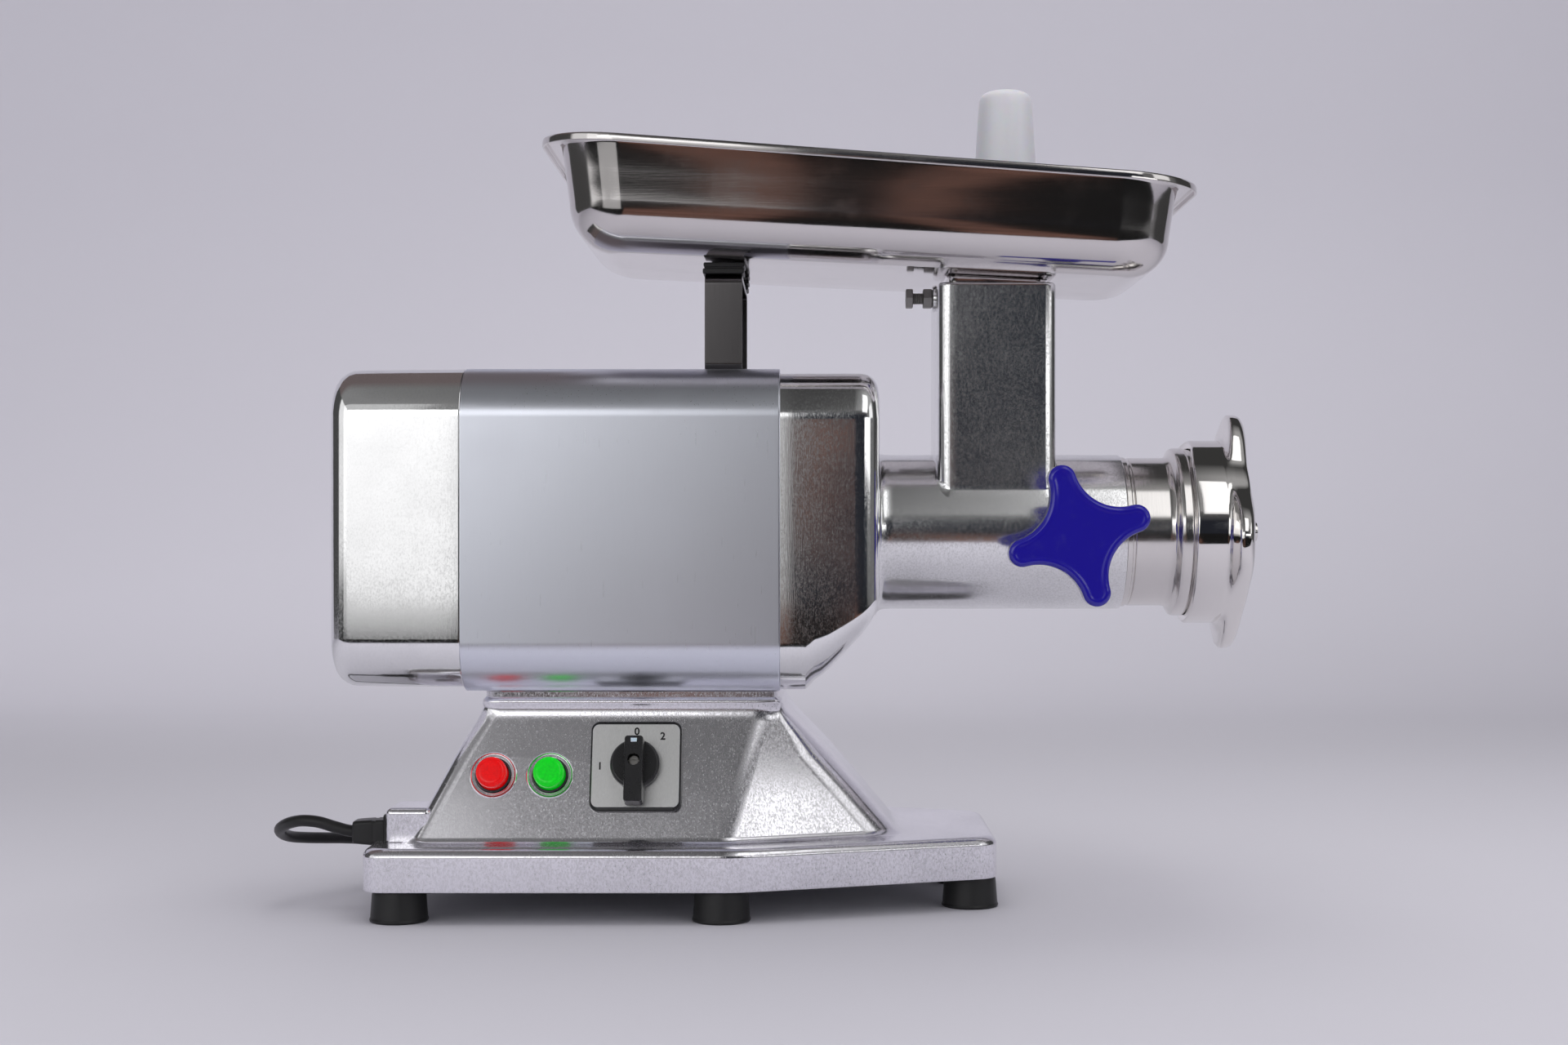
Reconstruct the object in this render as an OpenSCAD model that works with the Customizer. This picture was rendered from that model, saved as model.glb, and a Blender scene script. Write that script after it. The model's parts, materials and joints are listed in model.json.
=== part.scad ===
// Table-top meat grinder with a geared motor, a feed head and a feed tray.
// Millimetres. +X is the front, where the mince comes out, -Y is the switch side, +Z is up.
// The origin is on the table, under the middle of the machine.

/* [Machine] */
// Height of the worm's axis above the table
axis_z = 255; // [254:0.5:256]
// Height of the rubber feet
foot_h = 21; // [20:0.5:22]
// Diameter of a rubber foot at its top
foot_d = 35; // [30:1:36]

/* [Base casting] */
// Height of the base plate's top face
base_top = 49.5; // [48:0.5:50]
// Rear edge of the base plate
base_rear = -290; // [-292:1:-288]
// Front edge of the base plate
base_front = 127.5; // [124:0.5:130]
// Half the width of the base plate behind the bend
base_half = 134; // [132:1:134]
// Half the width of the base plate at its front edge
base_front_half = 73; // [70:1:75]
// Where the sides of the base start to taper
bend_x = -46; // [-50:1:-42]
// Wall of the casting
cast_wall = 4.5; // [4:0.5:5]

/* [Motor housing] */
// Underside of the motor sleeve
sleeve_z0 = 148; // [148:148]
// Top of the motor sleeve
sleeve_z1 = 364; // [364:364]
// Half the width of the motor sleeve
sleeve_half = 110; // [110:110]
// Corner radius of the motor sleeve
sleeve_r = 34; // [33:1:35]
// Sheet thickness of the motor sleeve
sheet = 2; // [1.5:0.5:2]
// Rear end of the rear cap
cap_rear = -316; // [-318:1:-314]
// Seam between rear cap and sleeve
seam_rear = -229; // [-231:1:-227]
// Seam between sleeve and gear case
seam_front = -19; // [-19:-19]
// Front face of the gear case
case_front = 47; // [47:47]

/* [Gears] */
// Gear module
gear_m = 1.75; // [1.75:1.75]
// Teeth of the motor pinion
pinion_a = 16; // [16:16]
// Teeth of the countershaft gear
gear_a = 48; // [48:48]
// Teeth of the countershaft pinion
pinion_b = 17; // [17:17]
// Teeth of the output gear
gear_b = 47; // [47:47]

/* [Feed head] */
// Outer diameter of the barrel
barrel_d = 108.4; // [107:0.2:109]
// Inner diameter of the barrel
barrel_bore = 96.4; // [96.4:96.4]
// Front end of the barrel
barrel_front = 218; // [217:0.5:219]
// Outer diameter of the worm's flight
worm_d = 86; // [82:1:86]
// Pitch of the worm's flight
worm_pitch = 44; // [40:1:48]
// Diameter of the grinder plate
plate_d = 99.6; // [99.6:99.6]
// Outer diameter of the ring nut
ring_d = 128.4; // [126:0.2:130]
// Reach of the ring nut's lugs from the axis
lug_reach = 82; // [78:1:84]

/* [Neck] */
// Rear face of the feed neck
neck_x0 = 89; // [89:89]
// Front face of the feed neck
neck_x1 = 170; // [170:170]
// Half the width of the feed neck
neck_half = 47; // [46:1:48]
// Top of the feed neck
neck_top = 426; // [425:0.5:427]

/* [Tray] */
// Height of the tray's rim at its middle
rim_z = 502.6; // [501:0.2:504]
// Height of the tray's underside at its middle
floor_z = 434.4; // [434:0.2:435]
// Downward slope of the rim towards the front, in degrees
rim_slope = 4.15; // [3.9:0.05:4.4]
// Downward slope of the floor towards the front, in degrees
floor_slope = 2.7; // [2.5:0.1:2.8]
// Sheet thickness of the tray
tray_t = 1.5; // [1.2:0.1:1.6]

/* [Plunger] */
// Top of the plunger's handle
plunger_top = 565.5; // [560:0.5:570]

/* [Controls] */
// Side of the square switch frame
switch_w = 60.6; // [59:0.2:62]
// Travel of a push button
button_travel = 3; // [3:3]

/* [Mains cord] */
// Diameter of the cord
cord_d = 8; // [8:8]

/* [Hidden] */
$fn = 64;

mid_z = (sleeve_z0 + sleeve_z1) / 2;
sleeve_h = sleeve_z1 - sleeve_z0;
sleeve_w = 2 * sleeve_half;
play = 0.04;          // radial clearance of a running fit
gap = 0.3;            // clearance between bodies that only pass each other
gear_face = 18;       // face width of every gear
shaft_gap = gear_m * (pinion_a + gear_a) / 2;
counter_z = axis_z + shaft_gap;
mesh_a_x = -13;       // rear faces of the first gear pair
mesh_b_x = 12;        // rear faces of the second gear pair
foot_places = [[-268, -112], [-57, -112], [110, -53], [-268, 112], [-57, 112], [110, 53]];
neck_mid_x = (neck_x0 + neck_x1) / 2;
wire_x = -117;        // hole for the motor's wires in the sleeve's underside
wire_y = 9;
knob_x = 179.5;
knob_z = 252;
plunger_x = 139;
lean = 18.435;        // slope of the control face from the vertical, in degrees
face_turn = 90 - lean;
steel = [0.72, 0.72, 0.74];
cast_alloy = [0.78, 0.78, 0.80];
dark_steel = [0.45, 0.45, 0.47];
black = [0.06, 0.06, 0.06];
copper = [0.72, 0.40, 0.20];

// Joins a list of lists of points into one list.
function joined(rings) = [for (r = rings) each r];

function unit(v) = v / norm(v);

// Points that round the corner c between its neighbours a and b, starting d before it, or
// just short of halfway where the side is short.
function bend(a, c, b, d, n) =
    let (p = c + unit(a - c) * min(d, 0.48 * norm(a - c)),
        q = c + unit(b - c) * min(d, 0.48 * norm(b - c)))
    [for (i = [0:n]) let (t = i / n) (1 - t) * (1 - t) * p + 2 * t * (1 - t) * c + t * t * q];

// A closed outline with each corner rounded over the distance d.
function soft_outline(corners, d, n = 6) =
    let (m = len(corners))
    [for (i = [0:m - 1])
        each bend(corners[(i + m - 1) % m], corners[i], corners[(i + 1) % m], d, n)];

// A rectangle from (x0, -half) to (x1, half) with true arcs at its corners.
function round_rect(x0, x1, half, r, n = 8) =
    [for (c = [[x0 + r, -half + r, 180], [x1 - r, -half + r, 270], [x1 - r, half - r, 0],
        [x0 + r, half - r, 90]])
        for (i = [0:n]) [c[0] + r * cos(c[2] + 90 * i / n), c[1] + r * sin(c[2] + 90 * i / n)]];

// The side faces between ring k and ring j of n points each.
function band(k, j, n) = [for (i = [0:n - 1]) each [[k * n + i, j * n + i, j * n + (i + 1) % n],
    [k * n + i, j * n + (i + 1) % n, k * n + (i + 1) % n]]];

// A solid through rings of equally many points, closed by its first and last ring.
module loft(rings) {
    n = len(rings[0]);
    m = len(rings);
    polyhedron(points = joined(rings), faces = concat([[for (i = [0:n - 1]) i]],
        [[for (i = [n - 1:-1:0]) (m - 1) * n + i]],
        joined([for (k = [0:m - 2]) band(k, k + 1, n)])));
}

// A ring-shaped solid through rings whose last one joins the first.
module closed_loft(rings) {
    n = len(rings[0]);
    m = len(rings);
    polyhedron(points = joined(rings), faces = joined([for (k = [0:m - 1]) band(k, (k + 1) % m, n)]));
}

// A flat rectangle with rounded corners, centred.
module rounded_square(w, h, r) {
    square([w - 2 * r, h], center = true);
    square([w, h - 2 * r], center = true);
    for (x = [-1, 1], y = [-1, 1])
        translate([x * (w / 2 - r), y * (h / 2 - r)]) circle(r = r);
}

// Extrudes a flat shape from x0 to x1 along +X, with its x to +Y and its y to +Z.
module along_x(x0, x1, z = 0) {
    translate([x0, 0, z]) rotate([90, 0, 90]) linear_extrude(x1 - x0) children();
}

// A rod, and a tube, from x0 to x1.
module rod_x(x0, x1, r, z = axis_z, y = 0) {
    translate([x0, y, z]) rotate([0, 90, 0]) cylinder(h = x1 - x0, r = r);
}

module tube_x(x0, x1, ro, ri, z = axis_z) {
    difference() {
        rod_x(x0, x1, ro, z);
        rod_x(x0 - 1, x1 + 1, ri, z);
    }
}

// Where the sloped control face lies at the height z, and a place on it with +Z outwards.
function face_y(z) = -78 - (143 - z) / 3;
module on_face(x, z) {
    translate([x, face_y(z), z]) rotate([face_turn, 0, 0]) children();
}

// ---------- base ----------

// The six-cornered outline of the casting at one height.
function cast_ring(z, rear, half, bend_at, front, front_half, d) =
    [for (p = soft_outline([[rear, -half], [bend_at, -half], [front, -front_half],
        [front, front_half], [bend_at, half], [rear, half]], d)) [p[0], p[1], z]];

// The base plate's outline, moved inwards by i.
function plate_ring(z, i, d) = cast_ring(z, base_rear + i, base_half - i, bend_x - 0.2 * i,
    base_front - i, base_front_half - 0.8 * i, d);

// The pedestal's outline between its foot (t = 0) and its top (t = 1), moved inwards by i.
function pedestal_ring(z, t, i, d) = cast_ring(z, -265 + 50 * t + i, 108 - 30 * t - i,
    -54 + 26 * t - 0.3 * i, 62 - 84 * t - i, 65 + 12.5 * t - i, d);

top_edge_r = 7;
module casting_body() {
    loft(concat([plate_ring(foot_h, 0, 14)],
        [for (a = [0:22.5:90])
            plate_ring(base_top - top_edge_r * (1 - sin(a)), top_edge_r * (1 - cos(a)), 14)],
        [pedestal_ring(base_top, 0, -4.5, 14), pedestal_ring(base_top + 1, 0, -2, 13),
         pedestal_ring(base_top + 3.5, 0, 0, 12), pedestal_ring(132, 0.88, 0, 9),
         pedestal_ring(136, 0.93, -1, 9), pedestal_ring(139, 0.97, -3.2, 9),
         pedestal_ring(sleeve_z0 - 0.6, 1, -3.4, 9), pedestal_ring(sleeve_z0, 1, -2.8, 9)]));
}

module casting_hollow() {
    loft([plate_ring(foot_h - 1, cast_wall, 11), plate_ring(base_top - cast_wall - 3, cast_wall, 11),
        plate_ring(base_top - cast_wall, cast_wall + 3, 11),
        pedestal_ring(base_top - cast_wall + 0.1, 0, cast_wall + 1, 10),
        pedestal_ring(132, 0.88, cast_wall, 7), pedestal_ring(sleeve_z0 - 6, 0.96, cast_wall + 1, 7),
        pedestal_ring(sleeve_z0 - 3, 1, 6, 6), pedestal_ring(sleeve_z0 + 1, 1, 6, 6)]);
}

// The raised entry for the cord, cast on the rear of the base plate.
module cable_entry() {
    translate([-279, -103, base_top - 2]) cube([30, 44, 24.9]);
}

module base_casting() {
    color(cast_alloy) difference() {
        union() {
            casting_body();
            cable_entry();
        }
        casting_hollow();
        translate([-275, -99, base_top - 12]) cube([40, 36, 30.4]);
        translate([-300, -94.8, 44.6]) cube([21, 27.6, 10]);
        rod_x(-281, -270, 5, 54.4, -81);
        on_face(-114.3, 98.3) translate([0, 0, -12]) cylinder(h = 24, r = 24);
        for (place = button_places) on_face(place[0], place[1])
            translate([0, 0, -14]) cylinder(h = 28, r = 13.2);
    }
}

module bottom_cover() {
    color(dark_steel) difference() {
        translate([0, 0, foot_h + 0.2]) linear_extrude(1.6) polygon([for (p = plate_ring(0, 5.2, 11))
            [p[0], p[1]]]);
        for (p = foot_places) translate([p[0], p[1], foot_h - 1]) cylinder(h = 4, r = 3.2);
    }
}

module rubber_feet() {
    color(black) for (p = foot_places) translate([p[0], p[1], 0]) difference() {
        rotate_extrude() polygon([[0, 0], [19, 0], [19.5, 0.6], [19.5, 1.6], [19, 2.2],
            [foot_d / 2 + 0.6, foot_h - 3], [foot_d / 2, foot_h], [0, foot_h]]);
        translate([0, 0, -1]) cylinder(h = 7, r = 7);
        cylinder(h = foot_h + 1, r = 3.1);
    }
}

module foot_screws() {
    color(steel) for (p = foot_places) translate([p[0], p[1], 2]) {
        cylinder(h = 4, r = 6);
        cylinder(h = foot_h + 6, r = 3);
    }
}

module cord_gland() {
    color(black) difference() {
        union() {
            translate([-282, -94, 45]) cube([3, 26, 22]);
            translate([-304, -90.5, 45.2]) cube([22, 19, 17.6]);
        }
        rod_x(-305, -278, cord_d / 2, 54.4, -81);
    }
}

// ---------- mains cord ----------
// Points down the middle of the cord, from the gland to the coil behind the machine.
cord_route = [[-279, -81, 54.4], [-304, -81, 54.4], [-316, -81, 57], [-328, -81, 60.5],
    [-340, -78, 61], [-351, -70, 58], [-359, -58, 53], [-361, -44, 48], [-358, -31, 44],
    [-351, -18, 41.5], [-341, -5, 39.5], [-331, 9, 37.5], [-321, 26, 34.5], [-312, 46, 30],
    [-305, 68, 23.5], [-301, 90, 16], [-299, 112, 9], [-297, 134, 5], [-292, 154, 4],
    [-280, 170, 4], [-262, 180, 4], [-240, 184, 4], [-216, 183, 4], [-192, 180, 4],
    [-168, 178, 4], [-150, 177.5, 4]];
coil_at = [-130, 224];
coil_r = 46;          // radius at the middle of the turns
coil_h = 16.4;
plug_x = -96;         // rear end of the plug's sleeve
plug_y = 178;
plug_r = 18.5;

// A smooth curve through the route's points.
function glide(a, b, c, d, t) = 0.5 * ((2 * b) + (c - a) * t + (2 * a - 5 * b + 4 * c - d) * t * t
    + (3 * b - a - 3 * c + d) * t * t * t);
function along(route, step) = let (m = len(route) - 1)
    [for (i = [0:m - 1]) for (s = [0:1 / step:0.999])
        glide(route[max(i - 1, 0)], route[i], route[i + 1], route[min(i + 2, m)], s), route[m]];

// The ring of a tube's points around p, square to the direction d.
function tube_ring(p, d, r, sides) =
    let (side = unit(cross(d, [0, 0, 1])), up = cross(side, d))
    [for (i = [0:sides - 1]) p + r * (cos(360 * i / sides) * side + sin(360 * i / sides) * up)];

module swept_tube(line, r, sides) {
    last = len(line) - 1;
    loft([for (i = [0:last]) tube_ring(line[i],
        unit(line[min(i + 1, last)] - line[max(i - 1, 0)]), r, sides)]);
}

module cord() {
    color(black) swept_tube(along(cord_route, 2), cord_d / 2 - 0.05, 10);
}

module cord_coil() {
    color(black) translate([coil_at[0], coil_at[1], coil_h / 2]) rotate_extrude()
        translate([coil_r, 0]) rounded_square(cord_d * 2.05, coil_h, 3.8);
}

module plug() {
    color(black) {
        rod_x(plug_x, plug_x + 20, 5.5, plug_r + 0.5, plug_y);
        rod_x(plug_x + 20, plug_x + 56, plug_r, plug_r + 0.5, plug_y);
    }
    color(steel) for (y = [-9.5, 9.5]) rod_x(plug_x + 56, plug_x + 75, 2.4, plug_r + 0.5, plug_y + y);
}

// ---------- motor housing ----------

// A shell's solid: a rounded section along X, rounded again as seen from the side and from above.
module housing_block(x0, x1, z0, z1, half, r, edge) {
    intersection() {
        along_x(x0, x1, (z0 + z1) / 2) rounded_square(2 * half, z1 - z0, r);
        translate([0, half + 1, (z0 + z1) / 2]) rotate([90, 0, 0]) linear_extrude(2 * half + 2)
            translate([(x0 + x1) / 2, 0]) rounded_square(x1 - x0, z1 - z0, edge);
        translate([0, 0, z0 - 1]) linear_extrude(z1 - z0 + 2)
            translate([(x0 + x1) / 2, 0]) rounded_square(x1 - x0, 2 * half, edge);
    }
}

cap_wall = 4;
module rear_cap() {
    color(cast_alloy) difference() {
        intersection() {
            housing_block(cap_rear, seam_rear + 60, sleeve_z0 + 2.8, sleeve_z1 - 0.6,
                sleeve_half - 0.6, sleeve_r, 14);
            translate([cap_rear - 1, -150, 100]) cube([seam_rear - cap_rear + 1, 300, 300]);
        }
        housing_block(cap_rear + cap_wall, seam_rear + 60, sleeve_z0 + 6.8, sleeve_z1 - 4.6,
            sleeve_half - 4.6, sleeve_r - 4, 10);
    }
    color(cast_alloy) along_x(seam_rear, seam_rear + 8, mid_z) difference() {
        rounded_square(sleeve_w - 4.2, sleeve_h - 4.2, sleeve_r - 2.1);
        rounded_square(sleeve_w - 16, sleeve_h - 16, sleeve_r - 8);
    }
}

module motor_sleeve() {
    color(steel) difference() {
        along_x(seam_rear, seam_front, mid_z) difference() {
            rounded_square(sleeve_w, sleeve_h, sleeve_r);
            rounded_square(sleeve_w - 2 * sheet, sleeve_h - 2 * sheet, sleeve_r - sheet);
        }
        translate([wire_x, wire_y, sleeve_z0 - 1]) cylinder(h = 6, r = 12);
        for (y = [-40, 40]) translate([-57.75, y, sleeve_z1 - 4]) cylinder(h = 6, r = 2.6);
    }
}

// The side outline of the gear case, with its chamfer at the bottom front.
module case_side(i) {
    polygon(soft_outline([[seam_front - 40, 149 + i], [1, 149 + i], [case_front - i, 200 + 0.4 * i],
        [case_front - i, 361 - i], [seam_front - 40, 361 - i]], 11));
}

module case_block(i) {
    intersection() {
        along_x(seam_front - (i > 0 ? 1 : 0), case_front - i, 255)
            rounded_square(2 * (sleeve_half - 1.5 - i), 212 - 2 * i, sleeve_r - i);
        translate([0, 120, 0]) rotate([90, 0, 0]) linear_extrude(240) case_side(i);
        translate([0, 0, 140]) linear_extrude(230) translate([case_front - i - 60, 0])
            rounded_square(120, 2 * (sleeve_half - 1.5 - i), 12);
    }
}

case_screw_r = 47;    // how far the screws that hold the barrel are from the axis
module gear_case() {
    color(cast_alloy) difference() {
        union() {
            difference() {
                case_block(0);
                case_block(5);
            }
            rod_x(31, case_front - 1, 33);
            intersection() {
                rod_x(33, case_front - 1, 24, counter_z);
                case_block(1);
            }
        }
        rod_x(30, 44, 27.5);
        rod_x(43, case_front + 1, 18);
        rod_x(32, 45, 20, counter_z);
        for (a = [45:90:315]) translate([0, 0, axis_z]) rotate([a, 0, 0])
            rod_x(42, case_front + 1, 3, 0, case_screw_r);
    }
}

module gear_plate() {
    color(cast_alloy) difference() {
        union() {
            along_x(seam_front - 8, seam_front, mid_z)
                rounded_square(sleeve_w - 4.4, sleeve_h - 4.4, sleeve_r - 2.2);
            rod_x(-33, -17, 30);
            rod_x(-31, -17, 25, counter_z);
        }
        rod_x(-31.2, -16, 23.5);
        rod_x(-40, -30, 14);
        rod_x(-29, -16, 20, counter_z);
        for (y = [-68, 68], z = [-68, 68]) rod_x(-30, -18, 4, axis_z + z, y);
    }
}

module rear_end_shield() {
    color(cast_alloy) difference() {
        union() {
            rod_x(-205, -197, 103);
            rod_x(-205, -189, 30);
        }
        rod_x(-206, -191, 23.5);
        rod_x(-192, -188, 14);
        for (y = [-68, 68], z = [-68, 68]) rod_x(-206, -196, 4.1, axis_z + z, y);
        for (a = [0:60:300])
            translate([0, 0, axis_z]) rotate([a + 90, 0, 0]) rod_x(-206, -196, 12, 0, 58);
    }
}

// ---------- motor ----------

module motor_can() {
    color(dark_steel) tube_x(-197, -27, 88, 85);
}

module motor_stator() {
    color(dark_steel) tube_x(-165, -75, 84.9, 46);
}

module motor_windings() {
    color(copper) for (x = [-185, -75]) tube_x(x, x + 20, 76, 52);
}

module motor_rotor() {
    color(dark_steel) tube_x(-160, -80, 45.4, 12);
}

module motor_shaft() {
    color(steel) {
        rod_x(-245, -185, 10 - play);
        rod_x(-185, -55, 12);
        rod_x(-55, -31, 12);
        rod_x(-31, mesh_a_x, 10 - play);
        rod_x(mesh_a_x, mesh_a_x + gear_face, 8);
    }
}

module motor_bearings() {
    color(steel) {
        tube_x(-205, -191, 23.5, 10);
        tube_x(-31, -17, 23.5, 10);
    }
}

module cooling_fan() {
    color(black) {
        tube_x(-243, -223, 15, 10);
        tube_x(-226, -223, 78, 14.5);
        for (a = [0:45:315]) translate([0, 0, axis_z]) rotate([a, 0, 0])
            translate([-240, -1.25, 14.5]) cube([15, 2.5, 60]);
    }
}

module motor_tie_bolts() {
    color(steel) for (y = [-68, 68], z = [-68, 68]) {
        rod_x(-211, -205, 6.5, axis_z + z, y);
        rod_x(-205, -20, 4, axis_z + z, y);
    }
}

module capacitor() {
    color([0.85, 0.85, 0.82]) rod_x(-190, -105, 19, foot_h + 21, 30);
}

module terminal_block() {
    color([0.9, 0.9, 0.85]) difference() {
        translate([-245, -40, foot_h + 1.8]) cube([60, 22, 18]);
        for (x = [-239:12:-190]) translate([x + 6, -29, foot_h + 12]) cylinder(h = 20, r = 2.5);
    }
}

// ---------- gears ----------
// Flanks are true involutes at a pressure angle of 20 degrees, with a little backlash.
pressure = 20;
backlash = 0.3;
function involute(rb, r) = let (t = sqrt(max(0, r * r / (rb * rb) - 1))) t * 180 / PI - atan(t);
function gear_flank(z, r) =
    let (rp = gear_m * z / 2, rb = rp * cos(pressure),
        half = 90 / z - (backlash / 2) / rp * 90 / PI)
    half + involute(rb, rp) - involute(rb, max(r, rb));
function gear_outline(z) =
    let (rp = gear_m * z / 2, rb = rp * cos(pressure), rr = rp - 1.25 * gear_m,
        ra = rp + 0.9 * gear_m, rs = [max(rb, rr + 0.2), (rb + 2 * rp) / 3, (rp + ra) / 2, ra])
    [for (k = [0:z - 1]) let (c = 360 * k / z) each concat(
        [[rr, c - min(gear_flank(z, rb) + 1.5, 150 / z)]],
        [for (i = [0:3]) [rs[i], c - gear_flank(z, rs[i])]],
        [for (i = [3:-1:0]) [rs[i], c + gear_flank(z, rs[i])]],
        [[rr, c + min(gear_flank(z, rb) + 1.5, 150 / z)]])];
module gear(z, turn, x, at_z, bore) {
    along_x(x, x + gear_face, at_z) difference() {
        rotate(turn) polygon([for (p = gear_outline(z)) p[0] * [cos(p[1]), sin(p[1])]]);
        circle(r = bore);
    }
}

module drive_pinion() {
    color(steel) gear(pinion_a, 90, mesh_a_x, axis_z, 8);
}

module counter_gear() {
    color(steel) gear(gear_a, 270 + 180 / gear_a, mesh_a_x, counter_z, 8.5);
}

module counter_pinion() {
    color(steel) gear(pinion_b, 270, mesh_b_x, counter_z, 8.5);
}

module output_gear() {
    color(steel) gear(gear_b, 90 + 180 / gear_b, mesh_b_x, axis_z, 15);
}

module countershaft() {
    color(steel) {
        rod_x(-28.8, -15, 8.5 - play, counter_z);
        rod_x(-15, 31, 8.5, counter_z);
        rod_x(31, 44.6, 8.5 - play, counter_z);
    }
}

module counter_bearings() {
    color(steel) {
        tube_x(-29, -17, 20, 8.5, counter_z);
        tube_x(33, 45, 20, 8.5, counter_z);
    }
}

module output_shaft() {
    color(steel) difference() {
        union() {
            rod_x(9, 30.5, 15);
            rod_x(30.5, 76, 15 - play);
        }
        translate([54, -8.1, axis_z - 8.1]) cube([30, 16.2, 16.2]);
    }
}

module output_bearings() {
    color(steel) {
        tube_x(31, 44, 27.5, 15);
        tube_x(50, 63, 27.5, 15);
    }
}

module oil_seal() {
    color(black) tube_x(66, 74, 26, 15);
}

module case_screws() {
    color(steel) for (a = [45:90:315]) translate([0, 0, axis_z]) rotate([a, 0, 0]) {
        rod_x(56, 61, 5, 0, case_screw_r);
        rod_x(43, 56, 3, 0, case_screw_r);
    }
}

// ---------- feed head ----------

module feed_housing() {
    color(cast_alloy) difference() {
        union() {
            rod_x(case_front, barrel_front, barrel_d / 2);
            translate([0, 0, axis_z]) rotate([90, 0, 90]) rotate_extrude() polygon([[40, case_front],
                [barrel_d / 2 + 5, case_front], [barrel_d / 2 + 2, case_front + 1.4],
                [barrel_d / 2 + 0.7, case_front + 3], [barrel_d / 2 - 1, case_front + 6],
                [40, case_front + 6]]);
            translate([neck_mid_x, 0, axis_z]) linear_extrude(neck_top - axis_z)
                rounded_square(neck_x1 - neck_x0, 2 * neck_half, 8);
            translate([neck_x0 - 1.8, 0, 419.5]) rotate([0, 90, 0]) cylinder(h = 4, r = 9);
            translate([knob_x, -46, knob_z]) rotate([90, 0, 0]) cylinder(h = 20, r = 13);
        }
        rod_x(75, barrel_front + 1, barrel_bore / 2);
        rod_x(49.9, 63, 27.5);
        rod_x(46, 66, 18);
        rod_x(66, 76, 26);
        translate([neck_mid_x, 0, axis_z]) linear_extrude(200) rounded_square(61, 76, 5);
        translate([neck_mid_x, 0, 401]) linear_extrude(60) rounded_square(67, 80, 6);
        translate([neck_x0 - 4, 0, 419.5]) rotate([0, 90, 0]) cylinder(h = 20, r = 4.05);
        translate([knob_x, -40, knob_z]) rotate([90, 0, 0]) cylinder(h = 40, r = 5);
        for (a = [45:90:315]) translate([0, 0, axis_z]) rotate([a, 0, 0]) {
            rod_x(46, 57, 3.2, 0, case_screw_r);
            rod_x(56, 76, 6, 0, case_screw_r);
        }
    }
}

module neck_bolt() {
    color(dark_steel) {
        rod_x(68.6, 73.6, 7.5, 419.5, 0);
        rod_x(73.6, 96.1, 4, 419.5, 0);
    }
}

module neck_nut() {
    color(dark_steel) translate([80.7, 0, 419.5]) rotate([0, 90, 0]) difference() {
        cylinder(h = 6.4, r = 7.5, $fn = 6);
        translate([0, 0, -1]) cylinder(h = 9, r = 4);
    }
}

// The stainless head: a spigot inside the barrel and a threaded mouth for the ring nut.
module head_nozzle() {
    color(steel) difference() {
        union() {
            rod_x(172, barrel_front + 0.2, barrel_bore / 2 - 0.05);
            rod_x(barrel_front + 0.2, 222, 52.6);
            rod_x(222, 224, 51);
            rod_x(224, 253, 52);
            translate([0, 0, axis_z]) rotate([90, 0, 90]) rotate_extrude() polygon([[45, 249],
                [52, 249], [52.6, 251.4], [54, 253], [57.5, 253.6], [58.8, 254.6], [59, 256],
                [59, 261.5], [58.5, 263], [45, 263]]);
            rod_x(263, 283, 57.8);
        }
        rod_x(171, 263, 43.8);
        rod_x(262, 290, 50);
        translate([knob_x, -46, knob_z]) rotate([90, 0, 0]) cylinder(h = 4, r = 5.4);
    }
}

// The worm: a core with one flight, the flat shape turned as it is drawn out.
worm_x0 = 79;
worm_x1 = 258;
core_r = 17;
function worm_section() = [for (a = [0:20:340])
    let (w = min(a, 360 - a), r = w < 30 ? worm_d / 2 : w < 66 ?
        worm_d / 2 - (worm_d / 2 - core_r) * (w - 30) / 36 : core_r) [r * cos(a), r * sin(a)]];
module feed_worm() {
    color(cast_alloy) difference() {
        union() {
            translate([worm_x0, 0, axis_z]) rotate([90, 0, 90])
                linear_extrude(worm_x1 - worm_x0, twist = -360 * (worm_x1 - worm_x0) / worm_pitch,
                    slices = 56) polygon(worm_section());
            translate([56, -8, axis_z - 8]) cube([24, 16, 16]);
        }
        rod_x(225, 259, 10);
    }
}

module worm_stud() {
    color(steel) {
        rod_x(225, worm_x1, 10);
        translate([worm_x1, -6.5, axis_z - 6.5]) cube([16.9, 13, 13]);
        rod_x(worm_x1 + 16.9, 315, 7.3);
        rod_x(315, 316, 6.6);
    }
}

module thrust_washer() {
    color([0.85, 0.65, 0.35]) tube_x(76.3, 78.8, 22, 12);
}

module cutter_knife() {
    color(steel) difference() {
        union() {
            rod_x(262.6, 274.6, 16);
            for (a = [0:90:270]) translate([0, 0, axis_z]) rotate([a + 20, 0, 0])
                translate([262.6, -6, 0]) cube([12, 12, 46]);
        }
        translate([260, -6.5, axis_z - 6.5]) cube([20, 13, 13]);
    }
}

// The holes lie on rings: each row is a ring's radius and its number of holes.
plate_rings = [[16, 8], [24.5, 13], [33, 18], [41.5, 23]];
module grinder_plate() {
    color(steel) difference() {
        rod_x(275, 284.6, plate_d / 2);
        rod_x(274, 286, 7.3 + play);
        for (ring = plate_rings, k = [0:ring[1] - 1]) translate([0, 0, axis_z])
            rotate([360 * k / ring[1], 0, 0]) rod_x(274, 286, 3, 0, ring[0]);
    }
}

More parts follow.
